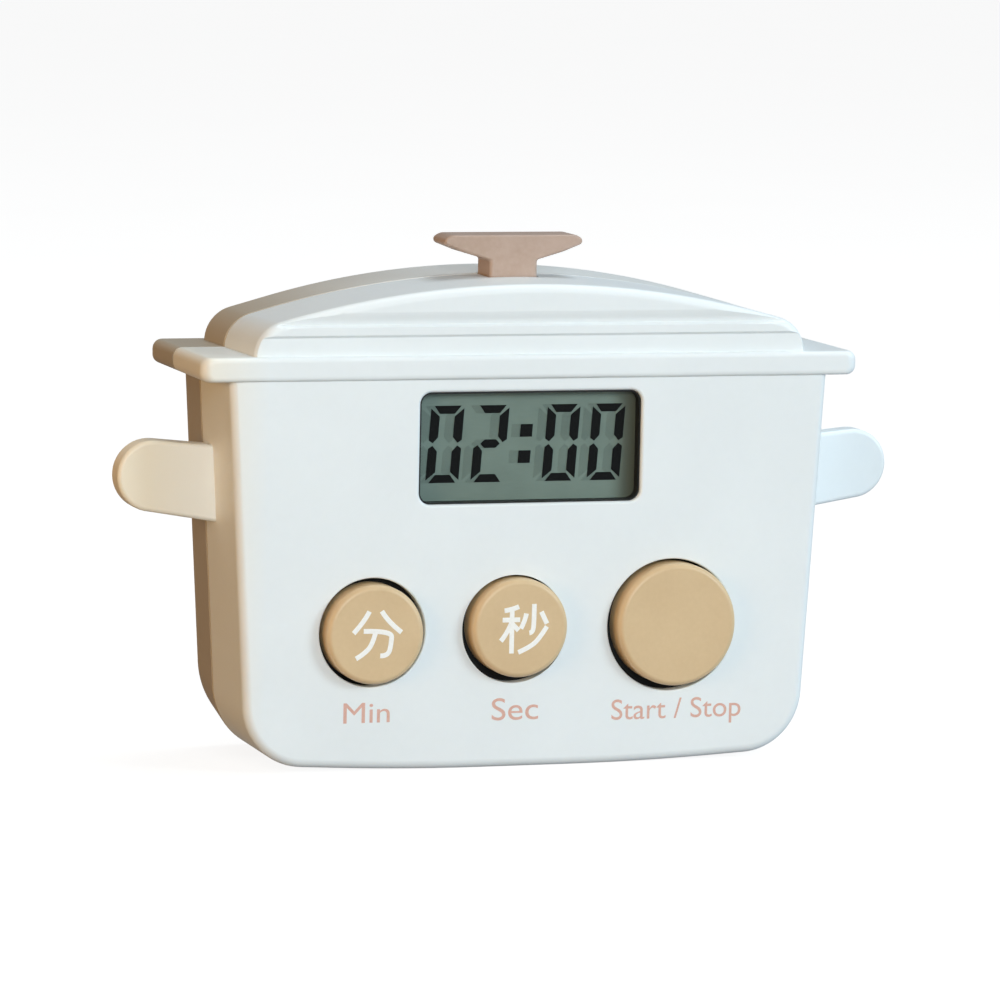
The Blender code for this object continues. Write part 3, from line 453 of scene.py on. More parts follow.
window = {
    "centre": (-0.2 * mm, 34.3 * mm),
    "size": (24.6 * mm, 11.9 * mm),
    "corner": 1.25 * mm,
    "lip": 0.35 * mm,
}
buttons = {
    "minute": {"x": -17.4 * mm, "radius": 5.3 * mm, "seat": (-0.02 * mm, -0.06 * mm)},
    "second": {"x": -1.7 * mm, "radius": 5.3 * mm, "seat": (0.27 * mm, 0.24 * mm)},
    "start_stop": {"x": 15.9 * mm, "radius": 6.62 * mm, "seat": (0.3 * mm, 0.16 * mm)},
}
buttonShape = {
    "z": 14.9 * mm,
    "sink": 0.03 * mm,
    "edge": 0.6 * mm,
    "clearance": 0.5 * mm,
    "holeLip": 0.2 * mm,
    "back": 1.8 * mm,
    "flange": 0.8 * mm,
    "flangeThick": 0.6 * mm,
    "plunger": 2.0 * mm,
}
lidBands = {
    "low": 44.2 * mm,
    "recess": 0.3 * mm,
    "beadLow": (46.05 * mm, 46.45 * mm),      # soft step out to the bead
    "beadHigh": (47.15 * mm, 47.5 * mm),      # and back in above it
    "groove": 0.42 * mm,
    "grooveTop": 49.0 * mm,
    "clear": 0.02 * mm,
}
lug = {
    "frontY": pot["faceY"] + 7.8 * mm,
    "backY": pot["faceY"] + 10.85 * mm,
    "tip": (frontHigh.x - 3.8 * mm, 30.95 * mm),
    "radius": 3.8 * mm,
    "rootX": 31.7 * mm,
    "rootZ": (25.8 * mm, 34.0 * mm),
    "tilt": math.radians(5.0),
    "edge": 0.5 * mm,
}


def lugOutline(side, inset):
    radius = lug["radius"] - inset
    points = [Vector((side * lug["rootX"], lug["rootZ"][0] + inset))]
    for step in range(25):
        angle = lug["tilt"] + math.pi * (step / 24 - 0.5)
        points.append(Vector((side * (lug["tip"][0] + radius * math.cos(angle)),
                              lug["tip"][1] + radius * math.sin(angle))))
    points.append(Vector((side * lug["rootX"], lug["rootZ"][1] - inset)))
    return points


def knobSlot(name):
    half = 2.67 * mm + 0.2 * mm
    return boxPiece(name, (-half, knobLow.y - 0.2 * mm, 49.7 * mm), (half, knobHigh.y + 0.2 * mm, 53.5 * mm))


def lidCutter():
    # What is cut from the lid's face: a recess, a step out to the bead, and a groove that runs out upwards.
    face = pot["faceY"]
    clear = -lidBands["clear"]
    profile = [(face - mm, lidBands["low"]), (face + lidBands["recess"], lidBands["low"])]
    for (low, high), start, end in ((lidBands["beadLow"], lidBands["recess"], clear),
                                    (lidBands["beadHigh"], clear, lidBands["groove"])):
        for step in range(9):
            ease = 0.5 - 0.5 * math.cos(math.pi * step / 8)
            profile.append((face + start + (end - start) * ease, low + (high - low) * step / 8))
    for step in range(1, 7):
        ease = math.sin(math.pi / 2 * step / 6)
        height = lidBands["beadHigh"][1] + (lidBands["grooveTop"] - lidBands["beadHigh"][1]) * step / 6
        profile.append((face + lidBands["groove"] + (clear - lidBands["groove"]) * ease ** 1.5, height))
    profile.append((face - mm, lidBands["grooveTop"]))
    cutter = skin("lidCutter", [(-rim["half"], profile), (rim["half"], profile)])
    cutter.data.transform(Matrix(((0, 1, 0, 0), (1, 0, 0, 0), (0, 0, 1, 0), (0, 0, 0, 1))))
    cutter.data.flip_normals()
    return cutter


def buildFrontShell():
    endY = pot["seamY"] - pot["seamGap"] / 2
    frontAt = lambda inset: potOutline(inset, pot["front"])
    sections = filletSections(pot["faceY"], 1, pot["frontFillet"], frontAt)
    sections += [
        (endY - 0.12 * mm, potOutline(0, pot["seam"])),
        (endY, potOutline(0.12 * mm, pot["seam"])),
        (endY, potOutline(0.9 * mm, pot["seam"])),
        (pot["seamY"] + 1.0 * mm, potOutline(0.9 * mm, pot["seam"])),
    ]
    shell = skin("timer_front_shell", sections)
    rimPart = skin("rimFront", rimSections(rim["frontY"], 1) + [(endY, rimOutline(0, 0))])
    combine(shell, rimPart, "UNION")
    for side in (-1, 1):
        outlineAt = lambda inset, side=side: lugOutline(side, inset)
        lugSections = filletSections(lug["frontY"], 1, lug["edge"], outlineAt)
        lugSections += reversed(filletSections(lug["backY"], -1, lug["edge"], outlineAt))
        combine(shell, skin("lugPart", lugSections), "UNION")
    combine(shell, skin("hollow", [
        (pot["faceY"] + pot["wall"], potOutline(pot["wall"], pot["front"])),
        (pot["seamY"] + 2 * mm, potOutline(pot["wall"], pot["seam"]))]), "DIFFERENCE")
    combine(shell, lidCutter(), "DIFFERENCE")
    opening = skin("opening", [
        (pot["faceY"] - 2 * mm, roundRectangle(window["centre"], window["size"], window["corner"])),
        (pot["faceY"] + 3 * mm, roundRectangle(window["centre"], window["size"], window["corner"]))])
    combine(shell, opening, "DIFFERENCE")
    for name, button in buttons.items():
        reach = button["radius"] + buttonShape["clearance"]
        hole = cylinderPiece("hole", button["x"], buttonShape["z"], reach,
                             pot["faceY"] - 2 * mm, pot["faceY"] + 3 * mm, 96)
        combine(shell, hole, "DIFFERENCE")
    combine(shell, knobSlot("slotFront"), "DIFFERENCE")
    weld(shell)
    onFace = lambda edge: all(abs(v.co.y - pot["faceY"]) < 0.01 * mm for v in edge.verts)
    width, height = window["size"]

    def windowEdge(edge):
        return onFace(edge) and all(
            abs(v.co.x - window["centre"][0]) < width / 2 + 0.1 * mm
            and abs(v.co.z - window["centre"][1]) < height / 2 + 0.1 * mm for v in edge.verts)

    print("window edges:", bevelEdges(shell, windowEdge, window["lip"], 4))
    for button in buttons.values():
        centre = Vector((button["x"], pot["faceY"], buttonShape["z"]))
        reach = button["radius"] + buttonShape["clearance"] + 0.05 * mm
        hole = lambda edge: onFace(edge) and all((v.co - centre).length < reach for v in edge.verts)
        print("hole edges:", bevelEdges(shell, hole, buttonShape["holeLip"], 4))
    smooth(shell)
    shell.data.materials.append(whiteAbs)
    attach(shell, "case")
    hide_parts("front_shell")
    return shell


frontShell = buildFrontShell()
print("front shell:", len(frontShell.data.polygons), "faces")


rear = {
    "bayHalf": (25.0 * mm, 5.7 * mm),
    "bayZ": 12.0 * mm,
    "bayFloorY": pot["faceY"] + 7.5 * mm,
    "doorHalf": (26.0 * mm, 6.6 * mm),
    "doorThick": 1.3 * mm,
    "gap": 0.3 * mm,
    "tabRows": (8.6 * mm, 15.4 * mm),
    "tabHalf": 2.0 * mm,
    "tabThick": 0.6 * mm,
    "pocketDeep": 1.7 * mm,
    "wellX": 28.0 * mm,
    "wellRows": (24.5 * mm, 38.6 * mm),
    "wellRadius": 2.2 * mm,
    "postRadius": 3.0 * mm,
    "boreRadius": 1.15 * mm,
    "wellFloorY": pot["faceY"] + 13.8 * mm,
    "soundZ": 31.0 * mm,
    "soundPitch": 2.4 * mm,
    "soundSize": (1.0 * mm, 8.0 * mm),
    "magnetX": 20.0 * mm,
    "magnetZ": 31.5 * mm,
    "magnetRim": 5.9 * mm,
    "magnetHole": 4.9 * mm,
}


def buildRearShell():
    startY = pot["seamY"] + pot["seamGap"] / 2
    shape = lambda inset: potOutline(inset, pot["back"])
    sections = [
        (startY, potOutline(0.12 * mm, pot["seam"])),
        (startY + 0.12 * mm, potOutline(0, pot["seam"])),
    ]
    sections += reversed(filletSections(pot["backY"], -1, pot["backFillet"], shape))
    shell = skin("timer_rear_shell", sections)
    rimPart = skin("rimRear", [(startY, rimOutline(0, 0)), *reversed(rimSections(rim["backY"], -1))])
    combine(shell, rimPart, "UNION")
    innerY = pot["backY"] - pot["wall"]
    combine(shell, skin("hollow", [
        (pot["seamY"] - 2 * mm, potOutline(pot["wall"], pot["seam"])),
        (innerY, potOutline(pot["wall"], pot["back"]))]), "DIFFERENCE")
    combine(shell, skin("rebate", [
        (pot["seamY"] - 2 * mm, potOutline(0.6 * mm, pot["seam"])),
        (pot["seamY"] + 1.3 * mm, potOutline(0.6 * mm, pot["seam"]))]), "DIFFERENCE")
    halfX, halfZ = rear["bayHalf"]
    wall = 1.0 * mm
    z = rear["bayZ"]
    combine(shell, boxPiece("bay", (-halfX - wall, rear["bayFloorY"] - wall, z - halfZ - wall),
                            (halfX + wall, innerY + 0.5 * mm, z + halfZ + wall)), "UNION")
    combine(shell, boxPiece("bayHollow", (-halfX, rear["bayFloorY"], z - halfZ),
                            (halfX, pot["backY"] + mm, z + halfZ)), "DIFFERENCE")
    size = [2 * (half + rear["gap"]) for half in rear["doorHalf"]]
    ledgeY = pot["backY"] - rear["doorThick"] - rear["gap"]
    combine(shell, skin("doorOpening", [
        (ledgeY, roundRectangle((0, z), size, 1.5 * mm)),
        (pot["backY"] + mm, roundRectangle((0, z), size, 1.5 * mm))]), "DIFFERENCE")
    edgeX = -rear["doorHalf"][0]
    for row in rear["tabRows"]:      # pockets that the door's tabs turn in
        reach = rear["tabHalf"] + rear["gap"]
        pocketLow = (edgeX - rear["pocketDeep"], ledgeY - 2 * rear["gap"], row - reach)
        pocketHigh = (edgeX, pot["backY"] - 1.3 * rear["gap"], row + reach)
        combine(shell, boxPiece("tabPocket", pocketLow, pocketHigh), "DIFFERENCE")
    combine(shell, cylinderPiece("notch", rear["doorHalf"][0] + rear["gap"], z, 3 * mm,
                                 pot["backY"] - mm, pot["backY"] + mm, 48), "DIFFERENCE")
    for side in (-1, 1):
        for row in rear["wellRows"]:
            x = side * rear["wellX"]
            combine(shell, cylinderPiece("post", x, row, rear["postRadius"], pot["seamY"],
                                         innerY + 0.5 * mm, 40), "UNION")
            combine(shell, cylinderPiece("well", x, row, rear["wellRadius"], rear["wellFloorY"],
                                         pot["backY"] + mm, 40), "DIFFERENCE")
            combine(shell, cylinderPiece("bore", x, row, rear["boreRadius"], pot["seamY"] - mm,
                                         pot["backY"], 32), "DIFFERENCE")
    for index in range(-2, 3):
        slot = roundRectangle((index * rear["soundPitch"], rear["soundZ"]), rear["soundSize"], 0.46 * mm, 6)
        combine(shell, skin("slot", [(innerY - mm, slot), (pot["backY"] + mm, slot)]), "DIFFERENCE")
    for side in (-1, 1):
        x = side * rear["magnetX"]
        floorY = rim["backY"] - 3.3 * mm
        seat = cylinderPiece("seat", x, rear["magnetZ"], rear["magnetRim"],
                             floorY - mm, rim["backY"] - rear["gap"], 64)
        rimEdge = lambda edge: (all(v.co.y > rim["backY"] - 0.5 * mm for v in edge.verts)
                                and edge.calc_length() < 2 * mm)
        bevelEdges(seat, rimEdge, 0.35 * mm, 4)
        combine(shell, seat, "UNION")
        combine(shell, cylinderPiece("pocket", x, rear["magnetZ"], rear["magnetHole"], floorY,
                                     rim["backY"] + mm, 64), "DIFFERENCE")
    combine(shell, knobSlot("slotRear"), "DIFFERENCE")
    weld(shell)
    onBack = lambda edge: all(abs(v.co.y - pot["backY"]) < 0.01 * mm for v in edge.verts)

    wells = [Vector((side * rear["wellX"], pot["backY"], row))
             for side in (-1, 1) for row in rear["wellRows"]]

    def openingEdge(edge):
        inDoor = all(abs(v.co.x) < size[0] / 2 + 3.5 * mm and abs(v.co.z - z) < size[1] / 2 + 0.1 * mm
                     for v in edge.verts)
        inSlot = all(abs(v.co.x) < 6 * mm and abs(v.co.z - rear["soundZ"]) < 4.2 * mm for v in edge.verts)
        inWell = all(any((v.co - centre).length < rear["wellRadius"] + 0.05 * mm for centre in wells)
                     for v in edge.verts)
        return onBack(edge) and (inDoor or inSlot or inWell)

    print("back edges:", bevelEdges(shell, openingEdge, 0.2 * mm, 3))
    smooth(shell)
    shell.data.materials.append(rearAbs)
    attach(shell, "case")
    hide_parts("rear_shell")
    return shell


rearShell = buildRearShell()
print("rear shell:", len(rearShell.data.polygons), "faces")


knob = {
    "neckHalf": 2.67 * mm,
    "neckTop": 53.5 * mm,
    "belly": (5.6 * mm, 54.35 * mm),
    "nose": (knobHigh.x + 0.35 * mm, 55.42 * mm),      # its rounding brings it back inside the piece's width
    "shoulderX": 7.0 * mm,
    "footHalf": 5.0 * mm,
    "footTall": 1.1 * mm,
    "edge": 0.45 * mm,
}


def knobOutline(inset):
    footLow = knobLow.z + inset
    footHigh = knobLow.z + knob["footTall"] - inset
    half = [
        (knob["footHalf"] - inset, footLow, 0, 0),
        (knob["footHalf"] - inset, footHigh, 0, 0),
        (knob["neckHalf"] - inset, footHigh, 0, 0),
        (knob["neckHalf"] - inset, knob["neckTop"] + 0.3 * inset, 0.35 * mm, 4),
        (knob["belly"][0], knob["belly"][1] + 0.8 * inset, 6.0 * mm, 6),
        (knob["nose"][0] - inset, knob["nose"][1] + 0.3 * inset, 0.45 * mm - 0.6 * inset, 8),
        (knob["shoulderX"] - inset, knobHigh.z - 0.5 * inset, 1.5 * mm, 8),
    ]
    otherHalf = [(-x, z, radius, steps) for x, z, radius, steps in reversed(half)]
    return roundCorners(half + otherHalf)


def buildKnob():
    edge = knob["edge"]
    sections = filletSections(knobLow.y, 1, edge, knobOutline, 6)
    sections += reversed(filletSections(knobHigh.y, -1, edge, knobOutline, 6))
    piece = skin("lid_knob", sections)
    smooth(piece, 38)
    piece.data.materials.append(tanAbs)
    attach(piece, "case")
    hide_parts("knob")
    return piece


buildKnob()
print("knob done")


def buildButton(name, settings):
    low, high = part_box(name + "_button")
    seatX, seatZ = settings["seat"]
    x = settings["x"] + seatX
    z = buttonShape["z"] + seatZ
    frontY = low.y + buttonShape["sink"]
    backY = pot["faceY"] + buttonShape["back"]
    piece = cylinderPiece(name + "_push_button", x, z, settings["radius"], frontY, backY, 128)
    frontEdge = lambda edge: all(v.co.y < frontY + 0.01 * mm for v in edge.verts)
    bevelEdges(piece, frontEdge, buttonShape["edge"], 10)
    editPick(piece, "FACE", lambda face: face.normal.y > 0.9)
    bpy.ops.mesh.extrude_region_move(TRANSFORM_OT_translate={"value": (0, 0, 0)})
    wide = settings["radius"] + buttonShape["flange"]
    grow = wide / settings["radius"]
    bpy.ops.transform.resize(value=(grow, 1, grow), center_override=(x, backY, z))
    bpy.ops.mesh.extrude_region_move(TRANSFORM_OT_translate={"value": (0, buttonShape["flangeThick"], 0)})
    bpy.ops.mesh.extrude_region_move(TRANSFORM_OT_translate={"value": (0, 0, 0)})
    shrink = buttonShape["plunger"] / wide
    bpy.ops.transform.resize(value=(shrink, 1, shrink), center_override=(x, backY, z))
    stem = high.y - backY - buttonShape["flangeThick"]
    bpy.ops.mesh.extrude_region_move(TRANSFORM_OT_translate={"value": (0, stem, 0)})
    leaveEdit()
    weld(piece, 0.0005 * mm)
    smooth(piece, 30)
    piece.data.materials.append(camelAbs)
    piece.data.materials.append(keyGapShade)
    for face in piece.data.polygons:      # the flange behind the face is black: painted shade in the gaps round the key
        if face.center.y > backY - 0.01 * mm:
            face.material_index = 1
    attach(piece, name + "_button")
    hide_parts(name + "_button")
    return piece


for buttonName, buttonSettings in buttons.items():
    buildButton(buttonName, buttonSettings)
print("buttons done")


signs = {
    "inkY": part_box("minute_button")[0].y + buttonShape["sink"] - 0.004 * mm,
    "stroke": 0.26 * mm,
    "minute": {
        "centre": (-17.3 * mm, 15.0 * mm),
        "strokes": [
            [(-0.9, 2.4), (-1.4, 1.4), (-2.6, 0.1)],
            [(0.45, 2.4), (1.2, 1.2), (2.65, 0.1)],
            [(-1.5, 0.3), (1.6, 0.3), (1.55, -1.0), (1.25, -2.4), (0.35, -2.35)],
            [(-0.15, 0.3), (-0.5, -1.1), (-1.4, -2.1), (-2.3, -2.6)],
        ],
    },
    "second": {
        "centre": (-0.95 * mm, 15.15 * mm),
        "strokes": [
            [(-0.75, 2.35), (-1.5, 2.05), (-2.35, 1.95)],
            [(-2.55, 0.95), (-0.6, 0.95)],
            [(-1.5, 2.0), (-1.5, -2.65)],
            [(-1.5, 0.8), (-1.9, -0.3), (-2.7, -1.3)],
            [(-1.45, 0.5), (-0.75, -0.2)],
            [(0.95, 2.6), (0.95, 0.6), (0.85, -0.45), (0.45, -0.5)],
            [(0.1, 1.6), (-0.1, 0.7), (-0.5, 0.0)],
            [(1.75, 1.75), (2.4, 0.45)],
            [(2.4, 0.15), (1.6, -1.1), (0.6, -2.0), (-0.75, -2.55)],
        ],
    },
}


def buildSign(name, body):
    # Rounded strokes, flattened to the thickness of ink.
    settings = signs[name]
    curve = bpy.data.curves.new(name + "_sign", "CURVE")
    curve.dimensions = "3D"
    curve.bevel_depth = signs["stroke"]
    curve.bevel_resolution = 4
    curve.use_fill_caps = True
    for stroke in settings["strokes"]:
        spline = curve.splines.new("NURBS")
        spline.points.add(len(stroke) - 1)
        for point, (x, z) in zip(spline.points, stroke):
            point.co = (settings["centre"][0] + x * mm, 0, settings["centre"][1] + z * mm, 1)
        spline.use_endpoint_u = True
        spline.order_u = 3
        spline.resolution_u = 6
    piece = bpy.data.objects.new(name + "_sign", curve)
    bpy.context.scene.collection.objects.link(piece)
    activate(piece)
    bpy.ops.object.convert(target="MESH")
    piece = bpy.context.object
    weld(piece, 0.0005 * mm)
    piece.scale = (1, 0.04, 1)
    piece.location = (0, signs["inkY"], 0)
    applyPlace(piece)
    smooth(piece, 60)
    piece.data.materials.append(whiteInk)
    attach(piece, body)
    return piece


legends = {
    "ink": 0.02 * mm,
    "Min": {"x": (-20.45 * mm, -15.35 * mm), "z": (5.3 * mm, 7.45 * mm)},
    "Sec": {"x": (-4.05 * mm, 1.15 * mm), "z": (5.1 * mm, 7.5 * mm)},
    "Start / Stop": {"x": (9.4 * mm, 24.1 * mm), "z": (4.05 * mm, 6.95 * mm)},
}


def buildLegend(text, name):
    # Generic lettering, drawn once and fitted to the width and height it covers.
    deselectAll()
    bpy.ops.object.text_add(location=(0, 0, 0))
    piece = bpy.context.object
    piece.data.body = text
    piece.data.size = 3.0 * mm
    piece.data.extrude = legends["ink"] / 2
    piece.data.resolution_u = 6
    piece.name = name
    bpy.ops.object.convert(target="MESH")
    piece = bpy.context.object
    lowX, lowZ = (min(v.co[axis] for v in piece.data.vertices) for axis in (0, 1))
    highX, highZ = (max(v.co[axis] for v in piece.data.vertices) for axis in (0, 1))
    (left, right), (base, top) = legends[text]["x"], legends[text]["z"]
    wide = (right - left) / (highX - lowX)
    tall = (top - base) / (highZ - lowZ)
    piece.scale = (wide, tall, 1)
    piece.rotation_euler = (math.pi / 2, 0, 0)
    piece.location = (left - lowX * wide, pot["faceY"], base - lowZ * tall)
    applyPlace(piece)
    weld(piece, 0.0005 * mm)
    piece.data.materials.append(salmonInk)
    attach(piece, "case")
    return piece


buildSign("minute", "minute_button")
buildSign("second", "second_button")
buildLegend("Min", "minute_legend")
buildLegend("Sec", "second_legend")
buildLegend("Start / Stop", "start_stop_legend")
print("signs and legends done")


display = {
    "frame": 0.17 * mm,
    "frameSink": 0.35 * mm,
    "shadeShift": -1.0 * mm,
    "segmentY": paneHigh.y + 0.03 * mm,
    "height": 8.2 * mm,
    "width": 3.65 * mm,
    "bar": 1.0 * mm,
    "gap": 0.14 * mm,
    "slant": math.tan(math.radians(4.0)),
    "shift": (-0.22 * mm, 0.08 * mm),
    "centreZ": 34.5 * mm,
    "digits": [(-9.1 * mm, "0"), (-4.1 * mm, "2"), (3.83 * mm, "0"), (8.87 * mm, "0")],
    "colonX": -0.18 * mm,
    "colonZ": (1.35 * mm, -1.45 * mm),
    "dot": 1.35 * mm,
}
lit = {"0": "abcdef", "2": "abged"}


def segmentOutlines(width, height, bar, gap):
    # Seven segments round (0, 0): slanted ends on the outer six, a lozenge in the middle.
    w = width / 2
    h = height / 2
    b = bar
    g = gap
    top = [(-w + g + 0.2 * b, h), (w - g - 0.2 * b, h), (w - b, h - 0.85 * b), (-w + b, h - 0.85 * b)]
    leftTop = [(-w, h - g - 0.15 * b), (-w + b, h - b - g), (-w + b, 0.75 * b),
               (-w + 0.45 * b, g), (-w, 0.45 * b)]
    middle = [(-w + b * 0.75, 0), (-w + b * 1.2, 0.45 * b), (w - b * 1.2, 0.45 * b), (w - b * 0.75, 0),
              (w - b * 1.2, -0.45 * b), (-w + b * 1.2, -0.45 * b)]
    mirrorX = lambda outline: [(-x, z) for x, z in reversed(outline)]
    mirrorZ = lambda outline: [(x, -z) for x, z in reversed(outline)]
    return {
        "a": top, "b": mirrorX(leftTop), "c": mirrorX(mirrorZ(leftTop)), "d": mirrorZ(top),
        "e": mirrorZ(leftTop), "f": leftTop, "g": middle,
    }


def placeOutline(outline, x):
    shiftX, shiftZ = display["shift"]
    return [(x + px + pz * display["slant"] + shiftX, display["centreZ"] + pz + shiftZ)
            for px, pz in outline]


def buildDisplay():
    outlines = segmentOutlines(display["width"], display["height"], display["bar"], display["gap"])
    shapes = []
    for x, digit in display["digits"]:
        shapes += [placeOutline(outlines[letter], x) for letter in lit[digit]]
    half = display["dot"] / 2
    for z in display["colonZ"]:
        square = [(-half, z - half), (half, z - half), (half, z + half), (-half, z + half)]
        shapes.append(placeOutline(square, display["colonX"]))
    segments = flatPiece("lcd_segments", shapes, display["segmentY"], 0.02 * mm)
    shade = copyPiece(segments, "lcd_segment_shadows", (display["shadeShift"], 0.015 * mm, 0))
    segments.data.materials.append(segmentInk)
    shade.data.materials.append(segmentShade)
    for piece in (segments, shade):
        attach(piece, "case")
    inset = display["frame"] + 0.03 * mm
    film = skin("lcd_polariser", [(y, roundRectangle(
        window["centre"], [s - 2 * inset for s in window["size"]], window["corner"] - inset))
        for y in (display["segmentY"] + 0.045 * mm, glassLow.y - 0.02 * mm)])
    film.data.materials.append(lcdCell)
    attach(film, "case")
    glass = boxPiece("lcd_cell", glassLow, glassHigh)
    bevelEdges(glass, lambda edge: True, 0.12 * mm, 2)
    smooth(glass)
    glass.data.materials.append(lcdCell)
    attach(glass, "case")
    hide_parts("lcd_glass")


def buildWindow():
    # A black liner round the opening's wall, and the pane inside it.
    centre = window["centre"]
    outlineAt = lambda inset: roundRectangle(
        centre, [s - 2 * inset for s in window["size"]], window["corner"] - inset)
    frontY = pot["faceY"] + display["frameSink"]
    backY = glassLow.y - 0.05 * mm
    slack = 0.01 * mm
    linerAt = lambda inset: outlineAt(inset + slack)
    linerSections = filletSections(frontY, 1, 0.06 * mm, linerAt, 3) + [(backY, linerAt(0))]
    liner = skin("window_black_liner", linerSections)
    hollow = outlineAt(display["frame"])
    combine(liner, skin("linerHollow", [(frontY - mm, hollow), (backY + mm, hollow)]), "DIFFERENCE")
    smooth(liner)
    liner.data.materials.append(blackAbs)
    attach(liner, "case")
    insideAt = lambda inset: outlineAt(display["frame"] + slack + inset)
    paneSections = filletSections(paneLow.y, 1, 0.15 * mm, insideAt, 3) + [(paneHigh.y, insideAt(0))]
    pane = skin("display_window", paneSections)
    smooth(pane)
    pane.data.materials.append(paneAcrylic)
    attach(pane, "case")
    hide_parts("lcd_window")


buildDisplay()
buildWindow()
print("display done")


def buildDoor():
    z = rear["bayZ"]
    size = (2 * rear["doorHalf"][0], 2 * rear["doorHalf"][1])
    outlineAt = lambda inset: roundRectangle((0, z), [s - 2 * inset for s in size], 1.2 * mm - inset)
    frontY = pot["backY"] - rear["doorThick"]
    sections = [(frontY, outlineAt(0))]
    sections += reversed(filletSections(pot["backY"], -1, 0.25 * mm, outlineAt, 4))
    door = skin("battery_cover", sections)
    for index in range(4):
        x = 15.0 * mm + index * 1.6 * mm
        groove = boxPiece("grip", (x, pot["backY"] - 0.3 * mm, z - 3 * mm),
                          (x + 0.7 * mm, pot["backY"] + mm, z + 3 * mm))
        bevelEdges(groove, lambda edge: abs(edge.verts[0].co.y - edge.verts[1].co.y) > mm * 0.5, 0.3 * mm, 4)
        combine(door, groove, "DIFFERENCE")
    for row in rear["tabRows"]:
        tab = boxPiece("tab", (doorLow.x, frontY, row - rear["tabHalf"]),
                       (mm - rear["doorHalf"][0], frontY + rear["tabThick"], row + rear["tabHalf"]))
        combine(door, tab, "UNION")
    weld(door)
    smooth(door)
    door.data.materials.append(rearAbs)
    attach(door, "battery_door")
    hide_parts("battery_door")


# Bright nickel plate: smooth and slightly warm, with the tone of the rolled steel under it.
nickelSteel = surface("nickel_plated_steel", {
    "light": "#C9C7C1", "dark": "#A9A7A2", "rough": 0.3, "mm": 0.8, "reliefMm": 0.004,
    "constants": {"Metallic": 1.0}})
magnetNickel = surface("nickel_plated_magnet", {
    "light": "#8F8F90", "dark": "#6F6F72", "rough": 0.32, "mm": 1.2, "reliefMm": 0.006,
    "constants": {"Metallic": 1.0}})


def buildMagnet(side, label):
    low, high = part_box("magnet_" + label)
    x = side * rear["magnetX"]
    magnet = cylinderPiece("fridge_magnet_" + label, x, rear["magnetZ"], high.x - x, low.y, high.y, 96)
    bevelEdges(magnet, lambda edge: abs(edge.verts[0].co.y - edge.verts[1].co.y) < 0.1 * mm, 0.3 * mm, 4)
    smooth(magnet)
    magnet.data.materials.append(magnetNickel)
    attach(magnet, "case")
    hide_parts("magnet_" + label)


def buildScrews():
    low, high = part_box("case_screw_1")
    centre = (low + high) / 2
    headY = high.y - 1.3 * mm
    head = cylinderPiece("case_screw_head", centre.x, centre.z, (high.x - low.x) / 2, headY, high.y, 48)
    bevelEdges(head, lambda edge: all(v.co.y > high.y - 0.01 * mm for v in edge.verts), 0.5 * mm, 5)
    for long, wide in ((2.2 * mm, 0.45 * mm), (0.45 * mm, 2.2 * mm)):
        recess = boxPiece("recess", (centre.x - long / 2, high.y - 0.7 * mm, centre.z - wide / 2),
                          (centre.x + long / 2, high.y + mm, centre.z + wide / 2))
        combine(head, recess, "DIFFERENCE")
    shaft = cylinderPiece("shaft", centre.x, centre.z, 0.85 * mm, low.y, headY + 0.3 * mm, 32)
    combine(head, shaft, "UNION")
    smooth(head)
    head.data.materials.append(nickelSteel)
    for index in range(1, 5):
        boxLow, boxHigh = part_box("case_screw_%d" % index)
        copy = copyPiece(head, "case_cross_screw_%d" % index, (boxLow + boxHigh) / 2 - centre)
        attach(copy, "case")
        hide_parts("case_screw_%d" % index)
    bpy.data.objects.remove(head)


buildDoor()
buildMagnet(-1, "left")
buildMagnet(1, "right")
buildScrews()
print("back pieces done")


inner = {
    ("lcd_holder",): blackAbs,
    ("lcd_reflector",): surface("reflector_film", {
        "light": "#B4B8AF", "dark": "#9EA29A", "rough": 0.35, "mm": 0.8, "constants": {"Metallic": 0.4}}),
    ("zebra_strip",): surface("striped_silicone_rubber", {
        "light": "#3A3A3C", "dark": "#1C1C1E", "rough": 0.75, "mm": 0.2, "stretch": (4, 1, 0.1)}),
    ("circuit_board",): surface("green_board_laminate", {
        "light": "#2F6B3C", "dark": "#245430", "rough": 0.45, "mm": 0.9, "reliefMm": 0.02}),
    ("controller_blob",): surface("black_epoxy_drop", {
        "light": "#17171A", "dark": "#0D0D0F", "rough": 0.3, "mm": 2.0}),
    ("quartz_crystal", "board_screw_left", "board_screw_right", "battery_spring", "battery_plate_positive",
     "battery_plate_negative"): nickelSteel,
    ("capacitor",): surface("capacitor_sleeve", {
        "light": "#2B3A5C", "dark": "#1F2A44", "rough": 0.4, "mm": 1.0}),
    ("minute_switch", "second_switch", "start_stop_switch"): surface("carbon_rubber_pill", {
        "light": "#2A2A2C", "dark": "#19191A", "rough": 0.7, "mm": 0.4, "reliefMm": 0.02}),
    ("battery_cell",): surface("printed_battery_sleeve", {
        "light": "#2D3647", "dark": "#1E2431", "rough": 0.35, "mm": 2.0}),
    ("buzzer_disc",): surface("brass_sheet_rolled", {
        "light": "#C9A458", "dark": "#A98443", "rough": 0.3, "mm": 1.0, "reliefMm": 0.004,
        "stretch": (1, 1, 8), "constants": {"Metallic": 1.0}}),
    ("buzzer_ceramic",): surface("fired_piezo_ceramic", {
        "light": "#D9D3C4", "dark": "#C4BDAC", "rough": 0.6, "mm": 0.5}),
    ("buzzer_lead_positive", "battery_lead_positive"): surface("red_pvc_insulation", {
        "light": "#A8221C", "dark": "#8C1A16", "rough": 0.45, "mm": 1.5}),
    ("buzzer_lead_negative", "battery_lead_negative"): surface("black_pvc_insulation", {
        "light": "#1B1B1C", "dark": "#101011", "rough": 0.45, "mm": 1.5}),
}
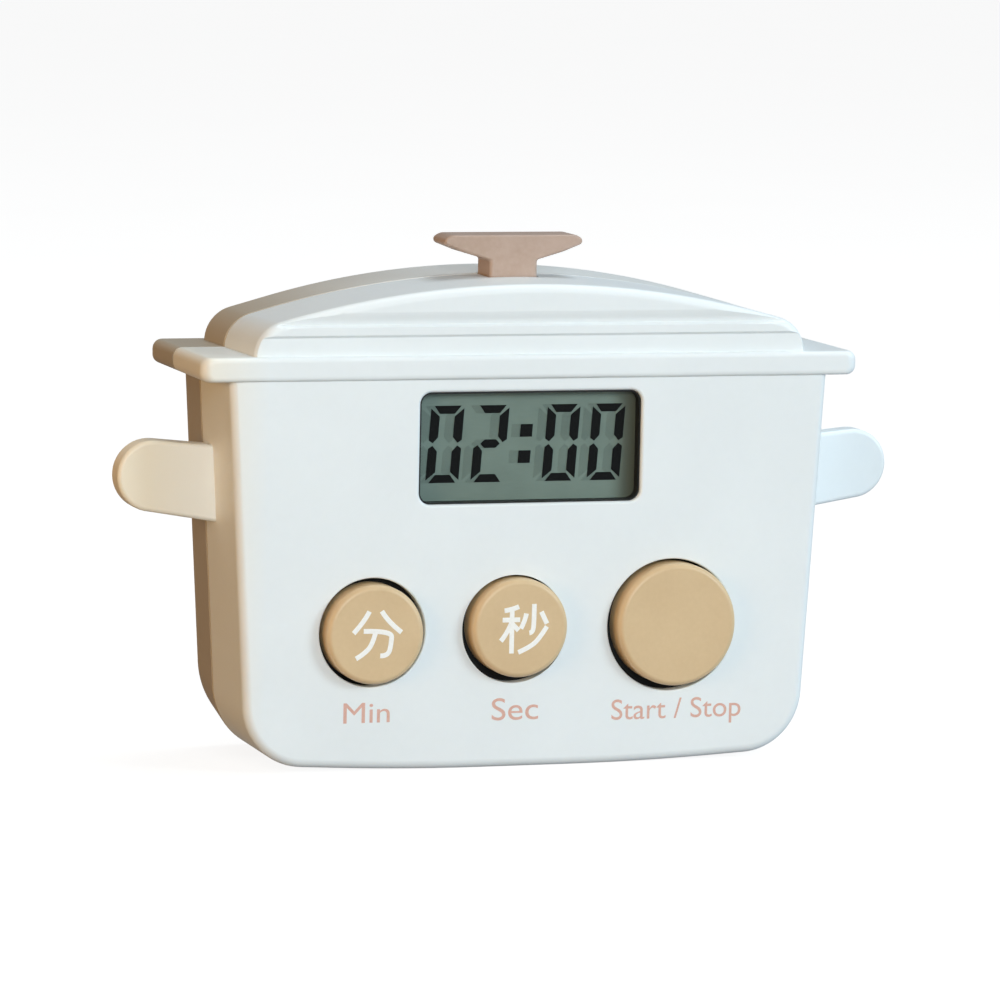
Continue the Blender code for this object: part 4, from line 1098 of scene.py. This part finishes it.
for names, finish in inner.items():
    for name in names:
        nodes[name].data.materials.clear()
        nodes[name].data.materials.append(finish)
print("inner finishes done")


stage = {
    "floorSize": 8.0,
    "floorGlow": 0.86,
    "front": {"from": (-0.16, -0.88, 0.3), "size": 0.4, "power": 3.9, "color": "#ECF9FF"},
    "key": {"from": (0.62, -0.5, 0.3), "size": 0.25, "power": 2.9, "color": "#EEFAFF"},
    "warm": {"from": (-0.75, -0.35, 0.12), "size": 0.4, "power": 2.2, "color": "#FFCA86"},
    "top": {"from": (0.25, 0.1, 0.85), "size": 0.5, "power": 2.8, "color": "#F2FBFF"},
    "worldLeft": "#7A6240",
    "worldRight": "#A4AEB8",
    "worldStrength": 0.8,
}


def buildFloor():
    deselectAll()
    bpy.ops.mesh.primitive_plane_add(size=stage["floorSize"], location=(0, 0, 0))
    floor = bpy.context.object
    floor.name = "pale_floor"
    made = surface("pale_studio_paper", {
        "light": "#8E8E8D", "dark": "#8A8A89", "rough": 0.9, "mm": 60.0,
        "constants": {"Emission Color": linear("#FFFFFF"), "Emission Strength": stage["floorGlow"]}})
    floor.data.materials.append(made)
    floor.visible_diffuse = False        # the room round the timer is darker than the paper it stands on
    floor.visible_glossy = False


def buildLights():
    middle = Vector((0, 0, 0.028))
    for name in ("front", "key", "warm", "top"):
        settings = stage[name]
        light = bpy.data.lights.new(name + "_light", "AREA")
        light.shape = "DISK"
        light.size = settings["size"]
        light.energy = settings["power"]
        light.color = linear(settings["color"])[:3]
        lamp = bpy.data.objects.new(name + "_light", light)
        lamp.location = settings["from"]
        lamp.rotation_euler = (middle - lamp.location).to_track_quat("-Z", "Y").to_euler()
        bpy.context.scene.collection.objects.link(lamp)


def buildRoom():
    # A warm dim room on the left and a cool bright one on the right.
    world = bpy.data.worlds.new("studio")
    world.use_nodes = True
    tree = world.node_tree
    direction = addNode(tree, "ShaderNodeTexCoord").outputs["Generated"]
    side = addNode(tree, "ShaderNodeSeparateXYZ", {}, {"Vector": direction}).outputs["X"]
    along = addNode(tree, "ShaderNodeMapRange", {"From Min": -1.0, "From Max": 1.0}, {"Value": side})
    color = addNode(tree, "ShaderNodeValToRGB", {
        "stops": [(0.1, linear(stage["worldLeft"])), (0.75, linear(stage["worldRight"]))]},
        {"Fac": along.outputs["Result"]}).outputs["Color"]
    background = tree.nodes["Background"]
    tree.links.new(color, background.inputs["Color"])
    background.inputs["Strength"].default_value = stage["worldStrength"]
    bpy.context.scene.world = world


view = {
    "azimuth": math.radians(17.766),     # to the left of the front
    "elevation": math.radians(7.139),
    "roll": math.radians(1.131),
    "distance": 600 * mm,
    "target": Vector((-1.021 * mm, -2.05 * mm, 27.687 * mm)),
    "lens": 201.25,
}


def buildCamera():
    azimuth, elevation = view["azimuth"], view["elevation"]
    back = Vector((-math.sin(azimuth) * math.cos(elevation), -math.cos(azimuth) * math.cos(elevation),
                   math.sin(elevation)))
    right = (-back).cross(Vector((0, 0, 1))).normalized()
    up = right.cross(-back).normalized()
    turnedRight = right * math.cos(view["roll"]) + up * math.sin(view["roll"])
    turnedUp = -right * math.sin(view["roll"]) + up * math.cos(view["roll"])
    data = bpy.data.cameras.new("camera")
    data.lens = view["lens"]
    data.sensor_width = 36
    data.clip_start = 0.01
    camera = bpy.data.objects.new("camera", data)
    camera.matrix_world = Matrix.Translation(view["target"] + back * view["distance"]) @ Matrix(
        (turnedRight, turnedUp, back)).transposed().to_4x4()
    bpy.context.scene.collection.objects.link(camera)
    bpy.context.scene.camera = camera


buildFloor()
buildLights()
buildRoom()
buildCamera()
bpy.context.scene.view_settings.view_transform = "Standard"
print("stage done")
